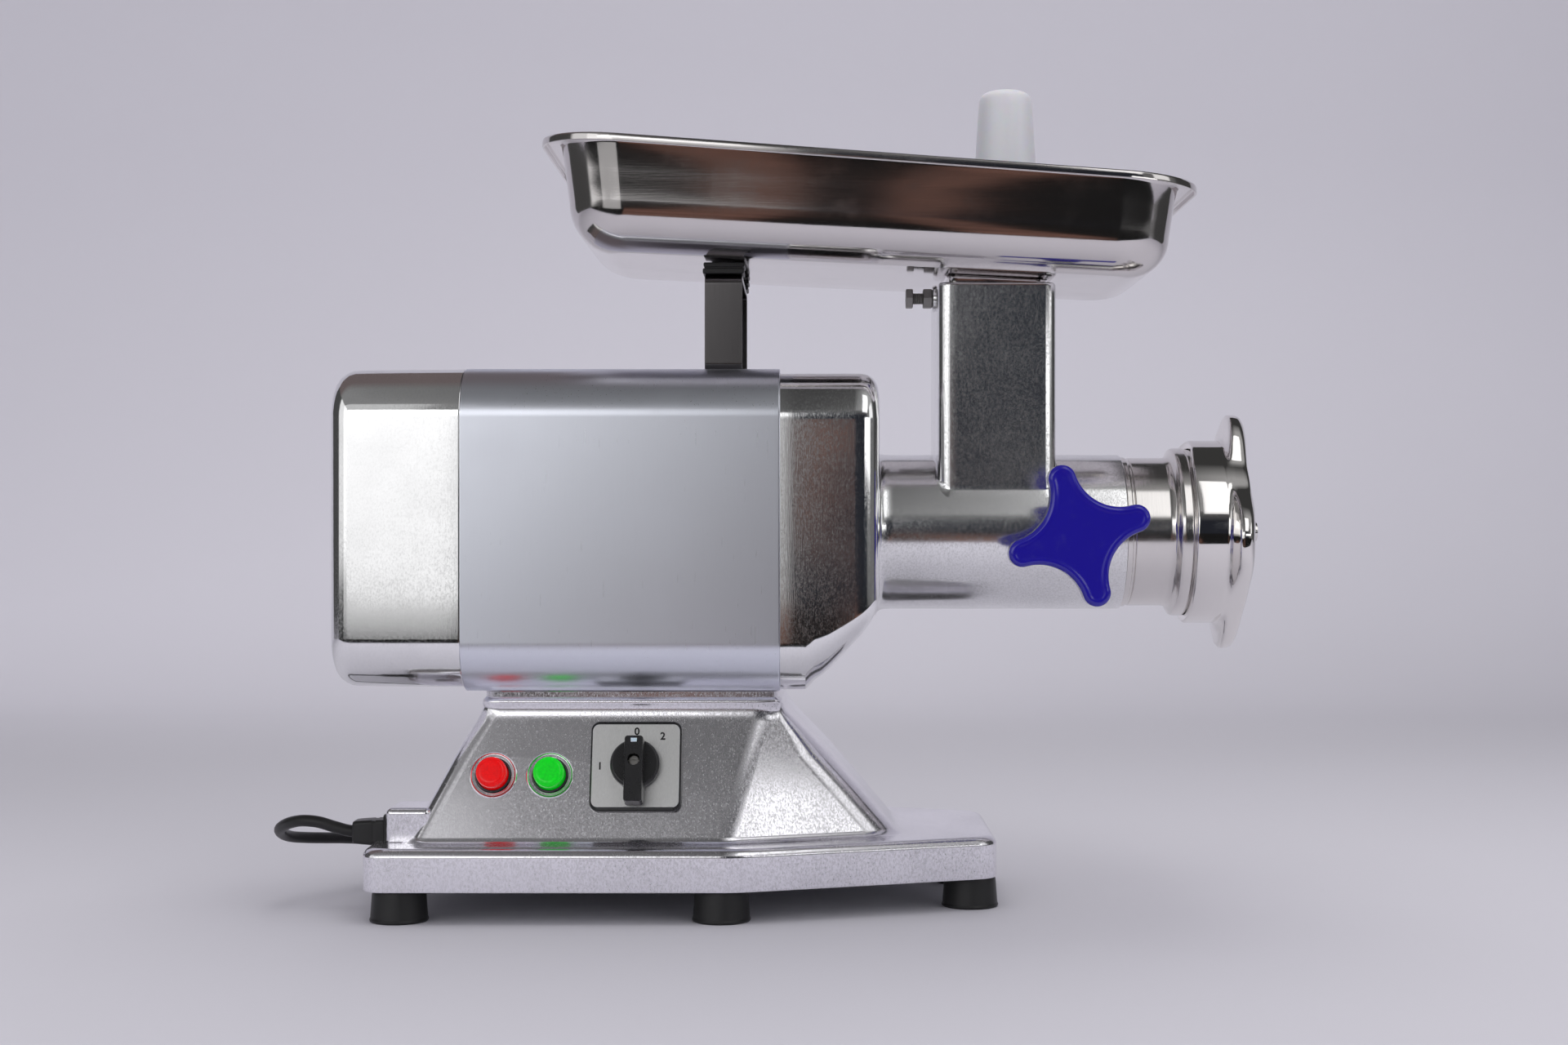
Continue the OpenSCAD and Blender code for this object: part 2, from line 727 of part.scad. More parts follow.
lug_turn = 7;         // how far the lugs are turned from upright
module ring_face() {
    offset(r = -14, $fn = 60) offset(delta = 14) {
        circle(r = 62);
        for (a = [0:90:270]) rotate(a + 90 + lug_turn) {
            translate([0, -7.5]) square([lug_reach - 5, 15]);
            translate([lug_reach - 5, -2.5]) square([5, 5]);
            for (y = [-2.5, 2.5]) translate([lug_reach - 5, y]) circle(r = 5);
        }
    }
}

module ring_nut() {
    color(steel) difference() {
        union() {
            rod_x(263.3, 288, ring_d / 2);
            along_x(285, 302, axis_z) ring_face();
        }
        rod_x(262, 284.9, 58.1);
        rod_x(284, 303, 44);
    }
}

star_reach = 48.8;    // from the knob's middle to the tip of an arm
star_tip = 9.3;       // radius of an arm's tip
star_turn = 17;       // how far the arms are turned from upright
module star() {
    offset(r = -27, $fn = 72) offset(delta = 27) for (a = [0:90:270]) rotate(a + star_turn) hull() {
        translate([star_reach - star_tip, 0]) circle(r = star_tip);
        circle(r = 9.6);
    }
}

module lock_knob() {
    color([0.05, 0.06, 0.55]) translate([knob_x, 0, knob_z]) rotate([90, 0, 0]) difference() {
        union() {
            translate([0, 0, 84]) linear_extrude(15) star();
            translate([0, 0, 66.6]) cylinder(h = 18, r = 14);
        }
        translate([0, 0, 60]) cylinder(h = 24, r = 4.95);
    }
}

module lock_screw() {
    color(steel) translate([knob_x, -48.5, knob_z]) rotate([90, 0, 0]) cylinder(h = 35.5, r = 4.95);
}

// ---------- tray and its support ----------

function rim_at(x) = rim_z - tan(rim_slope) * (x - 41);
function floor_at(x) = floor_z - tan(floor_slope) * (x - 41);
depth = rim_z - floor_z;
rear_wall = -161.5;   // outside of the tray's walls where the bottom fillet ends
front_wall = 243.5;
side_wall = 103;
draft = 5;            // how far the walls lean outwards from there to the rim
fillet = 30;

// A ring of the tray at the share k of its depth, raised by dz.
function tray_ring(x0, x1, half, r, k, dz = 0) = [for (p = round_rect(x0, x1, half, r))
    [p[0], p[1], floor_at(p[0]) + k * (rim_at(p[0]) - floor_at(p[0])) + dz]];
function spout_ring(x0, x1, half, r, z) = [for (p = round_rect(x0, x1, half, r)) [p[0], p[1], z]];
// A ring of the bottom fillet at the angle a, for the outer skin (t = 0) or the inner one.
function fillet_ring(a, t) = let (in = (fillet - t) * (1 - sin(a)) + t)
    tray_ring(rear_wall + in, front_wall - in, side_wall - in, max(40 - 0.9 * in, 6),
        (fillet - t) * (1 - cos(a)) / depth, t);
// A ring of the flange, moved out from the top of the wall by out.
function flange_ring(out, dz) = tray_ring(rear_wall - draft - out, front_wall + draft + out,
    side_wall + draft + out, 42 + out, 1, dz);

module tray_pan() {
    color(steel) closed_loft(concat(
        [spout_ring(96.9, 162.1, 39.3, 5, 401.5), spout_ring(96.9, 162.1, 39.3, 5, 424),
         tray_ring(95.5, 163.5, 41, 7, 0)],
        [for (a = [0:15:90]) fillet_ring(a, 0)],
        [flange_ring(0, -4), flange_ring(1, -tray_t), flange_ring(11.5, -tray_t),
         flange_ring(11.5, -5), flange_ring(13, -5), flange_ring(13, -1.5), flange_ring(12, 0),
         flange_ring(0, 0), flange_ring(-1.5, -2.5)],
        [for (a = [90:-15:0]) fillet_ring(a, tray_t)],
        [tray_ring(97, 162, 39.5, 6, 0, tray_t), spout_ring(98.4, 160.6, 37.8, 4, 424),
         spout_ring(98.4, 160.6, 37.8, 4, 401.5)]));
}

bracket_x = -57.75;
bracket_w = 25.5;
bracket_top = 430;
module bracket_line(i) {
    rounded_square(2 * (60 - i), 2 * (bracket_top - sleeve_z1 - i), 6 - i);
}

module support_bracket() {
    color(steel) difference() {
        union() {
            intersection() {
                along_x(bracket_x - bracket_w / 2, bracket_x + bracket_w / 2, sleeve_z1) difference() {
                    bracket_line(0);
                    bracket_line(2.5);
                }
                translate([-100, -70, sleeve_z1]) cube([80, 140, 80]);
            }
            for (y = [-60, 32]) translate([bracket_x - bracket_w / 2, y, sleeve_z1])
                cube([bracket_w, 28, 2.5]);
        }
        for (y = [-40, 40]) translate([bracket_x, y, sleeve_z1 - 1]) cylinder(h = 5, r = 2.6);
    }
}

module bracket_screws() {
    color(steel) for (y = [-40, 40]) translate([bracket_x, y, sleeve_z1 - 8]) {
        cylinder(h = 11, r = 2.5);
        translate([0, 0, 10.5]) cylinder(h = 3, r = 4.5);
    }
}

module support_pads() {
    color(black) for (y = [-62, 36]) {
        translate([bracket_x - 14, y, bracket_top]) cube([28, 26, 4]);
        translate([bracket_x - 12.8, y + 1, bracket_top + 4]) cube([26, 24, 0.8]);
        translate([bracket_x - 13.4, y, bracket_top + 4.8]) cube([28, 26, 2.8]);
    }
}

module plunger() {
    color([0.93, 0.94, 0.95]) translate([plunger_x, 0, 0]) rotate_extrude() polygon([[0, 345],
        [17, 345], [20, 347], [20.5, 350], [20.5, 434], [41, 434], [42, 435], [42, 438],
        [41, 439.5], [31, 441], [27.5, 444], [25.6, 452], [20.75, 521], [18.6, 556],
        [17.9, 560.5], [15.5, 564], [12, plunger_top - 0.4], [8, plunger_top], [0, plunger_top]]);
}

// ---------- controls ----------

switch_x = -114.3;
switch_z = 98.3;
module switch_frame() {
    color(black) on_face(switch_x, switch_z) difference() {
        linear_extrude(4.6) rounded_square(switch_w, switch_w, 6);
        translate([0, 0, -1]) cylinder(h = 8, r = 9);
    }
}

module switch_plate() {
    color(steel) on_face(switch_x, switch_z) difference() {
        translate([0, 0, 4.6]) linear_extrude(1.2) rounded_square(58, 56, 4.6);
        cylinder(h = 8, r = 9);
    }
}

module switch_knob() {
    color(black) on_face(switch_x, switch_z) difference() {
        union() {
            translate([0, 0, 6.2]) cylinder(h = 8, r = 16.5);
            translate([0, -6, 14]) linear_extrude(12) rounded_square(12.5, 44, 2);
            translate([0, 0, 0.4]) cylinder(h = 6.6, r = 8.6);
        }
        translate([0, 0, 18]) cylinder(h = 10, r = 4);
        translate([0, 0, -2]) cylinder(h = 22, r = 2.5);
    }
}

module switch_screw() {
    color(steel) on_face(switch_x, switch_z) {
        translate([0, 0, 18]) cylinder(h = 3, r = 3.9);
        translate([0, 0, 0]) cylinder(h = 18, r = 2.5);
    }
}

module switch_body() {
    color([0.2, 0.2, 0.22]) on_face(switch_x, switch_z) {
        translate([0, 0, -1.4]) cylinder(h = 1.4, r = 23.5);
        translate([0, 0, -10]) cylinder(h = 8.6, r = 23.5);
        translate([-22, -22, -50]) cube([44, 44, 40]);
    }
}

button_places = [[-209, 93.3], [-171.3, 93.3]];
module button_cap(place) {
    on_face(place[0], place[1]) {
        translate([0, 0, -2]) cylinder(h = 13, r = 10.3);
        translate([0, 0, 11]) cylinder(h = 1, r = 9.6);
        translate([0, 0, -6]) cylinder(h = 4, r = 6);
    }
}

module red_button() {
    color([0.85, 0.03, 0.03]) button_cap(button_places[0]);
}

module green_button() {
    color([0.03, 0.75, 0.1]) button_cap(button_places[1]);
}

module button_bodies() {
    color(black) for (place = button_places) on_face(place[0], place[1]) difference() {
        union() {
            translate([0, 0, -36]) cylinder(h = 35.2, r = 13);
            translate([0, 0, -0.8]) cylinder(h = 4.8, r = 11.7);
        }
        translate([0, 0, -9.5]) cylinder(h = 14, r = 10.3 + gap);
        translate([0, 0, -20]) cylinder(h = 12, r = 7);
    }
}

// Drawn as pressed, so that the cap's stem clears it over the whole travel.
module button_springs() {
    color(steel) for (place = button_places) on_face(place[0], place[1]) difference() {
        translate([0, 0, -20]) cylinder(h = 20 - 6 - button_travel - gap, r = 5.5);
        translate([0, 0, -21]) cylinder(h = 20, r = 4.5);
    }
}

base_casting();
bottom_cover();
rubber_feet();
foot_screws();
cord_gland();
cord();
cord_coil();
plug();
rear_cap();
motor_sleeve();
gear_case();
gear_plate();
rear_end_shield();
motor_can();
motor_stator();
motor_windings();
motor_rotor();
motor_shaft();
drive_pinion();
motor_bearings();
cooling_fan();
motor_tie_bolts();
countershaft();
counter_gear();
counter_pinion();
counter_bearings();
output_gear();
output_shaft();
output_bearings();
oil_seal();
case_screws();
feed_housing();
neck_bolt();
neck_nut();
head_nozzle();
feed_worm();
worm_stud();
thrust_washer();
cutter_knife();
grinder_plate();
ring_nut();
lock_knob();
lock_screw();
tray_pan();
support_bracket();
support_pads();
bracket_screws();
plunger();
switch_frame();
switch_plate();
switch_knob();
switch_screw();
switch_body();
red_button();
green_button();
button_bodies();
button_springs();
capacitor();
terminal_block();
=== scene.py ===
# %% [markdown]
# # A table-top meat grinder, piece by piece
# The machine is a cast aluminium base with a motor housing on it, a feed head at the front,
# and a deep steel tray that drops the meat down the neck. Its moving frame is already built
# and packed, so this lesson makes what the eye sees: every shell, casting and knob gets the
# shape and the finish of the real thing, and rides on the body that carries it.

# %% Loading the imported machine
import json
import math

import bmesh
import bpy
from mathutils import Matrix, Vector


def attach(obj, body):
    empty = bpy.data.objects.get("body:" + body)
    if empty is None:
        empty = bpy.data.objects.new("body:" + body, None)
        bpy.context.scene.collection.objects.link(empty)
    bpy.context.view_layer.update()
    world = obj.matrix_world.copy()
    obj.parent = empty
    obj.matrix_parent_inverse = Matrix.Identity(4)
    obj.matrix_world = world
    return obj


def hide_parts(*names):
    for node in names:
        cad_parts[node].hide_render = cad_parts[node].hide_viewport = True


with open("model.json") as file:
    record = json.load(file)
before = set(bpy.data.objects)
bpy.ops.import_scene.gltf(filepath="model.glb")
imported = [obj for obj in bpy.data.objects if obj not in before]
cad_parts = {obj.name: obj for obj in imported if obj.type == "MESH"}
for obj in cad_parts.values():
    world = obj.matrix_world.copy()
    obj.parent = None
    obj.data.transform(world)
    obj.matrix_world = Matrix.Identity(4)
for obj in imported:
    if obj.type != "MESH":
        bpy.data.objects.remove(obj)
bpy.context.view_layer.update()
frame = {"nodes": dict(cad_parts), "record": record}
nodes = frame["nodes"]
mm = 0.001
AXIS_Z = 255         # height of the worm's axis above the table, in millimetres


def link(thing):
    """Puts an object in the scene."""
    bpy.context.scene.collection.objects.link(thing)
    return thing


# %% [markdown]
# ## The camera
# A level camera stands one and a half metres from the switch side. The lens is a plain
# 50 mm one, and a small shift puts the machine where it belongs in the picture.

# %% Placing the camera
camera = link(bpy.data.objects.new("camera", bpy.data.cameras.new("camera")))
camera.location = (0, -1.538, 0.25)
camera.rotation_euler = (math.pi / 2, 0, 0)
camera.data.lens = 50
camera.data.sensor_width = 36
camera.data.shift_x = -30 / 1920
camera.data.shift_y = 20 / 1920
bpy.context.scene.camera = camera
bpy.context.scene.view_settings.view_transform = "Standard"
print("camera at", tuple(round(c, 3) for c in camera.location))

# %% [markdown]
# ## The mains cord
# The cord leaves the gland at the back, stands up in a short stiff loop and lies down on the
# table behind the machine, where the rest of its 1.8 m is wound in a neat coil. A cord is one
# line with a thickness, so a curve with a round bevel is the natural way: its points follow
# the route, then two turns beside each other on the table and two more on top of them.

# %% Laying the cord
CORD_D = 8
cord_route = [(-279, -81, 54.4), (-304, -81, 54.4), (-316, -81, 57), (-328, -81, 60.5),
              (-340, -78, 61), (-351, -70, 58), (-359, -58, 53), (-361, -44, 48),
              (-358, -31, 44), (-351, -18, 41.5), (-341, -5, 39.5), (-331, 9, 37.5),
              (-321, 26, 34.5), (-312, 46, 30), (-305, 68, 23.5), (-301, 90, 16),
              (-299, 112, 9), (-297, 134, 5), (-292, 154, 4), (-280, 170, 4), (-262, 180, 4),
              (-240, 184, 4), (-216, 183, 4), (-192, 180, 4), (-168, 178, 4), (-150, 177.5, 4)]
coil_middle = Vector((-130, 224, 0))


def glide(a, b, c, d, t):
    """A point on the smooth curve from b to c, with a before them and d after."""
    return 0.5 * ((2 * b) + (c - a) * t + (2 * a - 5 * b + 4 * c - d) * t * t
                  + (3 * b - a - 3 * c + d) * t * t * t)


def smooth_line(points, step):
    """Points along a smooth curve through the given ones, step of them to each stretch."""
    points = [Vector(p) for p in points]
    line = []
    for i in range(len(points) - 1):
        a, d = points[max(i - 1, 0)], points[min(i + 2, len(points) - 1)]
        line += [glide(a, points[i], points[i + 1], d, s / step) for s in range(step)]
    return line + [points[-1]]


def ease(t):
    return t * t * (3 - 2 * t)


def coil_point(turn):
    """A point of the coil after so many turns: out and in on the table, then on top."""
    stops = [(0, 50.2, 4.1), (0.8, 50.2, 4.1), (1.1, 41.8, 4.1), (1.8, 41.8, 4.1),
             (2.15, 41.8, 12.3), (2.8, 41.8, 12.3), (3.1, 50.2, 12.3), (5, 50.2, 12.3)]
    for (t0, r0, z0), (t1, r1, z1) in zip(stops, stops[1:]):
        if turn <= t1:
            s = ease((turn - t0) / (t1 - t0))
            break
    angle = math.radians(-113.5) + 2 * math.pi * turn
    r, z = r0 + (r1 - r0) * s, z0 + (z1 - z0) * s
    return coil_middle + Vector((r * math.cos(angle), r * math.sin(angle), z))


TURNS = 4.06
coil_line = [coil_point(TURNS * i / 400) for i in range(3, 401)]
tail = smooth_line([coil_line[-8], coil_line[-1], (-113, 177.2, 17.4), (-104, 178, 19),
                    (-92, 178, 19)], 6)[6:]
cord_line = smooth_line(cord_route, 8) + coil_line + tail[1:]
cord_length = sum((b - a).length for a, b in zip(cord_line, cord_line[1:]))
print("cord", round(cord_length), "mm long")

cord_curve = bpy.data.curves.new("mains_cord", "CURVE")
cord_curve.dimensions = "3D"
cord_curve.bevel_depth = (CORD_D / 2 - 0.05) * mm
cord_curve.bevel_resolution = 5
cord_curve.use_fill_caps = True
spline = cord_curve.splines.new("POLY")
spline.points.add(len(cord_line) - 1)
for point, place in zip(spline.points, cord_line):
    point.co = (*(place * mm), 1)
spline.use_smooth = True
cord = link(bpy.data.objects.new("mains_cord", cord_curve))

# %% [markdown]
# ## Shader maths in plain Python
# A procedural finish is a small sum of noises. Wiring each sum by hand hides the idea, so one
# class wraps a socket and overloads the operators, and one method makes any other node.

# %% A small way to write finishes


class Wire:
    """A socket of the finish being made. Sums on wires add Math nodes."""

    def __init__(self, finish, socket):
        self.finish, self.socket = finish, socket

    def _math(self, operation, a, b):
        return self.finish.node("ShaderNodeMath", {0: a, 1: b}, operation=operation)

    def __add__(self, other):
        return self._math("ADD", self, other)

    def __sub__(self, other):
        return self._math("SUBTRACT", self, other)

    def __rsub__(self, other):
        return self._math("SUBTRACT", other, self)

    def __mul__(self, other):
        return self._math("MULTIPLY", self, other)

    __radd__ = __add__
    __rmul__ = __mul__


class Finish:
    """A material with one Principled shader and whatever nodes feed it."""

    def __init__(self, name, **fixed):
        self.material = bpy.data.materials.new(name)
        self.material.use_nodes = True
        self.tree = self.material.node_tree
        self.shader = self.tree.nodes["Principled BSDF"]
        for socket, value in fixed.items():
            self.feed(self.shader.inputs[socket.replace("_", " ")], value)

    def feed(self, socket, value):
        if isinstance(value, Wire):
            self.tree.links.new(value.socket, socket)
        elif isinstance(value, (tuple, list)) and len(value) == 3 and socket.type == "RGBA":
            socket.default_value = (*value, 1)
        else:
            socket.default_value = value

    def node(self, kind, inputs=None, output=0, stops=None, bends="LINEAR", **settings):
        """Any node: its settings first, then the values or wires of its sockets."""
        made = self.tree.nodes.new(kind)
        for setting, value in settings.items():
            setattr(made, setting, value)
        if stops:
            ramp = made.color_ramp
            ramp.interpolation = bends
            while len(ramp.elements) < len(stops):
                ramp.elements.new(1)
            for element, (place, colour) in zip(ramp.elements, stops):
                element.position, element.color = place, (*colour, 1)
        for socket, value in (inputs or {}).items():
            self.feed(made.inputs[socket], value)
        return Wire(self, made.outputs[output])

    def place(self, stretch=(1, 1, 1), turn=(0, 0, 0)):
        """Object coordinates in metres, stretched or turned."""
        where = self.node("ShaderNodeTexCoord", output="Object")
        return self.node("ShaderNodeMapping",
                         {"Vector": where, "Scale": stretch, "Rotation": turn})

    def noise(self, scale, detail=2, stretch=(1, 1, 1), rough=0.5, turn=(0, 0, 0)):
        return self.node("ShaderNodeTexNoise",
                         {"Vector": self.place(stretch, turn), "Scale": scale,
                          "Detail": detail, "Roughness": rough})

    def ramp(self, fac, low, high):
        """0 below low, 1 above high, a straight slope between."""
        return self.node("ShaderNodeMapRange", {"Value": fac, "From Min": low, "From Max": high})

    def axis(self, letter):
        """How far along X, Y or Z a point is, in metres."""
        return self.node("ShaderNodeSeparateXYZ", {"Vector": self.place()}, output=letter)

    def mix(self, fac, a, b):
        """A colour between a and b."""
        return self.node("ShaderNodeMix", {"Factor": fac, 6: a, 7: b}, output=2, data_type="RGBA")

    def colour(self, value):
        self.feed(self.shader.inputs["Base Color"], value)

    def roughness(self, value):
        self.feed(self.shader.inputs["Roughness"], value)

    def bump(self, height, distance, strength=1.0):
        """Relief from a height of 0 to 1, that many millimetres deep."""
        normal = self.node("ShaderNodeBump", {"Height": height, "Distance": distance * mm,
                                              "Strength": strength})
        self.feed(self.shader.inputs["Normal"], normal)


def grey(level, tint=(1, 1, 1)):
    return tuple(level * t for t in tint)


# %% [markdown]
# ## Metal finishes
# Everything on this machine is metal, but no two parts were finished alike. The castings were
# ground and buffed, which leaves a soft grain, dull clouds and fine scratches. The sleeve is
# sheet with a brushed face, and the tray, the ring and the nozzle are mirror bright. Each
# finish is a pale metal whose roughness and relief change; the colour hardly does.

# %% Buffed casting


def cast_finish(name, level, rough, cloud, sparkle, grit, tint=(1, 1, 1.01), hair=0.35,
                turn=(0, 0, 0)):
    """A buffed casting: dull clouds, upright hair lines, and a fine sparkling grain.
    grit is how much rougher a speck of the grain is than the metal round it."""
    f = Finish(name, Metallic=1.0)
    clouds = f.ramp(f.noise(14, 3, rough=0.6), 0.38, 0.66)
    lines = f.noise(1300, 2, (1, 1, 0.05), 0.6, turn)
    grain = f.noise(900, 2, (1, 1, 0.6), 0.75)
    speck = f.ramp(grain, 0.42, 0.72)
    f.colour(f.mix(clouds * 0.2 + speck * 0.7 * sparkle, grey(level, tint),
                   grey(level * 0.55, tint)))
    f.roughness(rough * 0.85 + cloud * clouds + 0.05 * (lines - 0.5) + grit * speck)
    f.bump(lines * hair + grain * sparkle, 0.03, 0.5)
    return f.material


polished_cast = cast_finish("polished_cast", 0.96, 0.07, 0.03, 0.15, 0.09, hair=0.5)
satin_cast = cast_finish("satin_cast", 0.94, 0.14, 0.04, 0.7, 0.17, tint=(1, 0.985, 1.04),
                         turn=(0, math.radians(20), 0))
bright_cast = cast_finish("bright_cast", 0.97, 0.15, 0.04, 0.7, 0.1)

# %% Brushed sheet


def brushed_finish(name, level, rough, strength, cross=0.25, tint=(1, 1, 1), smudges=0.3,
                   depth=0.18):
    """Sheet that was drawn under a belt: long fine lines, and a few across them."""
    f = Finish(name, Metallic=1.0)
    lines = f.noise(1500, 3, (1, 1, 0.02), 0.6)
    broad = f.noise(800, 3, (1, 1, 0.015), 0.6)
    across = f.noise(900, 3, (0.02, 1, 1), 0.6)
    smudge = f.ramp(f.noise(7, 5, rough=0.7), 0.5, 0.8)
    grain = lines * 0.8 + broad * 0.2
    f.colour(f.mix(grain * 0.5 + smudge * smudges, grey(level, tint),
                   grey(level * (1 - depth), tint)))
    f.roughness(rough + 0.04 * (grain - 0.5) + 0.08 * smudge)
    f.bump(grain + cross * across, 0.035, strength)
    return f.material


brushed_sleeve = brushed_finish("brushed_sleeve", 0.88, 0.28, 0.03, cross=1.0, depth=0.09,
                                tint=(0.95, 0.98, 1.08), smudges=0.15)
brushed_plate = brushed_finish("brushed_plate", 0.98, 0.34, 1.0, smudges=0.1, depth=0.5)
bracket_steel = brushed_finish("bracket_steel", 0.13, 0.2, 0.8, tint=(1, 0.95, 0.97))

# %% Mirror steel


def mirror_finish(name, level, rough, tint=(1, 0.985, 0.97), lines=0.35, turned=False):
    """Polished stainless: a clear mirror with hair lines and faint wiping marks."""
    f = Finish(name, Metallic=1.0)
    hair = f.noise(1100, 3, (0.03, 1, 1) if not turned else (1, 0.04, 0.04), 0.6)
    wiped = f.ramp(f.noise(22, 5, rough=0.7), 0.5, 0.8)
    specks = f.ramp(f.noise(1600, 1), 0.72, 0.8)
    f.colour(f.mix(wiped * 0.35 + hair * 0.25, grey(level, tint), grey(level * 0.88, tint)))
    f.roughness(rough + 0.07 * wiped + 0.06 * (hair - 0.5) + 0.1 * specks)
    f.bump(hair, 0.02, lines)
    return f.material


tray_steel = mirror_finish("tray_steel", 0.74, 0.09, tint=(1, 0.96, 0.955))
ring_steel = mirror_finish("ring_steel", 0.86, 0.06, tint=(1, 0.972, 0.955), turned=True)
nozzle_steel = mirror_finish("nozzle_steel", 0.80, 0.15, tint=(1, 0.965, 0.945), lines=1.0,
                             turned=True)

# %% [markdown]
# ## Plastic and rubber
# The knob is glossy moulded plastic, with a faint orange peel that only its highlights show.
# Rubber and switch plastic are near black; what tells them apart is how dull they are, so the
# grain and the scuffs are worked into the roughness.

# %% Moulded plastics and rubber


def moulded_finish(name, colour, rough, peel=0.3, **more):
    """A moulded surface: a slight orange peel, a few scuffs, and dust-dull patches."""
    f = Finish(name, Specular_IOR_Level=0.5, **more)
    skin = f.noise(420, 3)
    scuffs = f.ramp(f.noise(70, 5, rough=0.75), 0.55, 0.8)
    f.colour(f.mix(scuffs * 0.35, colour, tuple(min(1, c * 0.85 + 0.02) for c in colour)))
    f.roughness(rough + 0.12 * scuffs + 0.06 * (skin - 0.5))
    f.bump(skin, 0.03, peel)
    return f.material


def rubber_finish(name, level, rough, grain=700):
    f = Finish(name, Specular_IOR_Level=0.4)
    pits = f.noise(grain, 4, rough=0.7)
    dust = f.ramp(f.noise(35, 4, rough=0.7), 0.5, 0.85)
    f.colour(f.mix(dust * 0.5 + pits * 0.2, grey(level), grey(level * 2.4 + 0.006)))
    f.roughness(rough + 0.15 * dust + 0.1 * (pits - 0.5))
    f.bump(pits, 0.08, 0.7)
    return f.material


foot_rubber = rubber_finish("foot_rubber", 0.012, 0.42)
cord_rubber = rubber_finish("cord_rubber", 0.011, 0.38, 500)
switch_black = moulded_finish("switch_black", (0.012, 0.012, 0.013), 0.28, 0.6)
body_black = moulded_finish("body_black", (0.02, 0.02, 0.021), 0.5, 0.8)
knob_blue = moulded_finish("knob_blue", (0.012, 0.006, 0.33), 0.17, 0.25, Coat_Weight=0.4,
                           Coat_Roughness=0.08)
plunger_white = moulded_finish("plunger_white", (0.80, 0.81, 0.83), 0.3, 0.3,
                               Subsurface_Weight=0.4, Subsurface_Scale=0.008)
pale_plastic = moulded_finish("pale_plastic", (0.72, 0.71, 0.66), 0.45)


def lens_finish(name, face, side):
    """A translucent button with a painted glow: face and side colours mottled together, and the
    same mottle given off as light.
    """
    f = Finish(name, Specular_IOR_Level=0.3, Coat_Weight=0.2, Coat_Roughness=0.06)
    cells = f.node("ShaderNodeTexVoronoi", {"Vector": f.place(), "Scale": 620})
    depth = f.noise(160, 3)
    f.colour(f.mix(depth * 0.5 + cells * 0.4, face, side))
    f.roughness(0.16 + 0.1 * depth)
    f.bump(cells, 0.06, 0.5)
    # Painted glow: the caps give off light of their own colour, with no lamp lit behind them.
    f.feed(f.shader.inputs["Emission Color"], f.mix(depth * 0.6, face, side))
    f.feed(f.shader.inputs["Emission Strength"], 0.5)
    return f.material


red_lens = lens_finish("red_lens", (0.78, 0.001, 0.002), (0.36, 0.001, 0.002))
green_lens = lens_finish("green_lens", (0.001, 0.66, 0.01), (0.001, 0.27, 0.012))

# %% Workshop metals inside the machine


def worked_finish(name, colour, metal, rough, scale=120, relief=0.05):
    """Plain machined, wound or plated stock: turning marks and stains."""
    f = Finish(name, Metallic=metal)
    marks = f.noise(scale * 6, 4, (0.2, 1, 1), 0.7)
    stain = f.ramp(f.noise(scale * 0.3, 5, rough=0.7), 0.4, 0.75)
    f.colour(f.mix(stain * 0.4 + marks * 0.25, colour, tuple(c * 0.62 for c in colour)))
    f.roughness(rough + 0.15 * stain + 0.1 * (marks - 0.5))
    f.bump(marks, relief)
    return f.material


machined = worked_finish("machined_steel", (0.62, 0.62, 0.63), 1.0, 0.25)
bolt_steel = worked_finish("bolt_steel", (0.33, 0.32, 0.31), 1.0, 0.36, 200)
zinc_plate = worked_finish("zinc_plate", (0.66, 0.68, 0.70), 1.0, 0.34, 60)
motor_iron = worked_finish("motor_iron", (0.22, 0.23, 0.25), 0.9, 0.45)
copper_wire = worked_finish("copper_wire", (0.72, 0.30, 0.12), 1.0, 0.35, 160)
bronze = worked_finish("bronze", (0.68, 0.44, 0.19), 1.0, 0.3)
print(len(bpy.data.materials), "finishes")

# %% [markdown]
# ## Tools for shaping
# Nearly every shell here is a closed outline that is drawn out in steps, growing, shrinking or
# sliding as it goes. So the first helper draws an outline and the second extrudes its edges
# and puts the new ring where it belongs. Round parts are a profile that is spun.

# %% Outlines and rings


def start_ring(bm, points):
    """A closed outline of edges through the points, in millimetres."""
    ring = [bm.verts.new(Vector(p) * mm) for p in points]
    for a, b in zip(ring, ring[1:] + ring[:1]):
        bm.edges.new((a, b))
    return ring


def pull_ring(bm, ring, points):
    """Extrudes an outline's edges and moves the new ring to the points."""
    edges = [bm.edges.get((a, b)) for a, b in zip(ring, ring[1:] + ring[:1])]
    made = bmesh.ops.extrude_edge_only(bm, edges=edges)["geom"]
    fresh = {g for g in made if isinstance(g, bmesh.types.BMVert)}
    new = [next(e.other_vert(v) for e in v.link_edges if e.other_vert(v) in fresh) for v in ring]
    for v, p in zip(new, points):
        v.co = Vector(p) * mm
    return new


def drawn_shell(rings, close_first=False, close_last=False, loop=False):
    """A bmesh through the rings, one after another."""
    bm = bmesh.new()
    first = ring = start_ring(bm, rings[0])
    for points in rings[1:]:
        ring = pull_ring(bm, ring, points)
    if loop:
        edges = [bm.edges.get(pair) for r in (first, ring) for pair in zip(r, r[1:] + r[:1])]
        bmesh.ops.bridge_loops(bm, edges=edges)
    if close_first:
        bm.faces.new(first)
    if close_last:
        bm.faces.new(ring)
    bmesh.ops.recalc_face_normals(bm, faces=bm.faces)
    return bm


def arc(cx, cy, r, start, n):
    """n + 1 points over a quarter turn round (cx, cy)."""
    return [(cx + r * math.cos(math.radians(start + 90 * i / n)),
             cy + r * math.sin(math.radians(start + 90 * i / n))) for i in range(n + 1)]


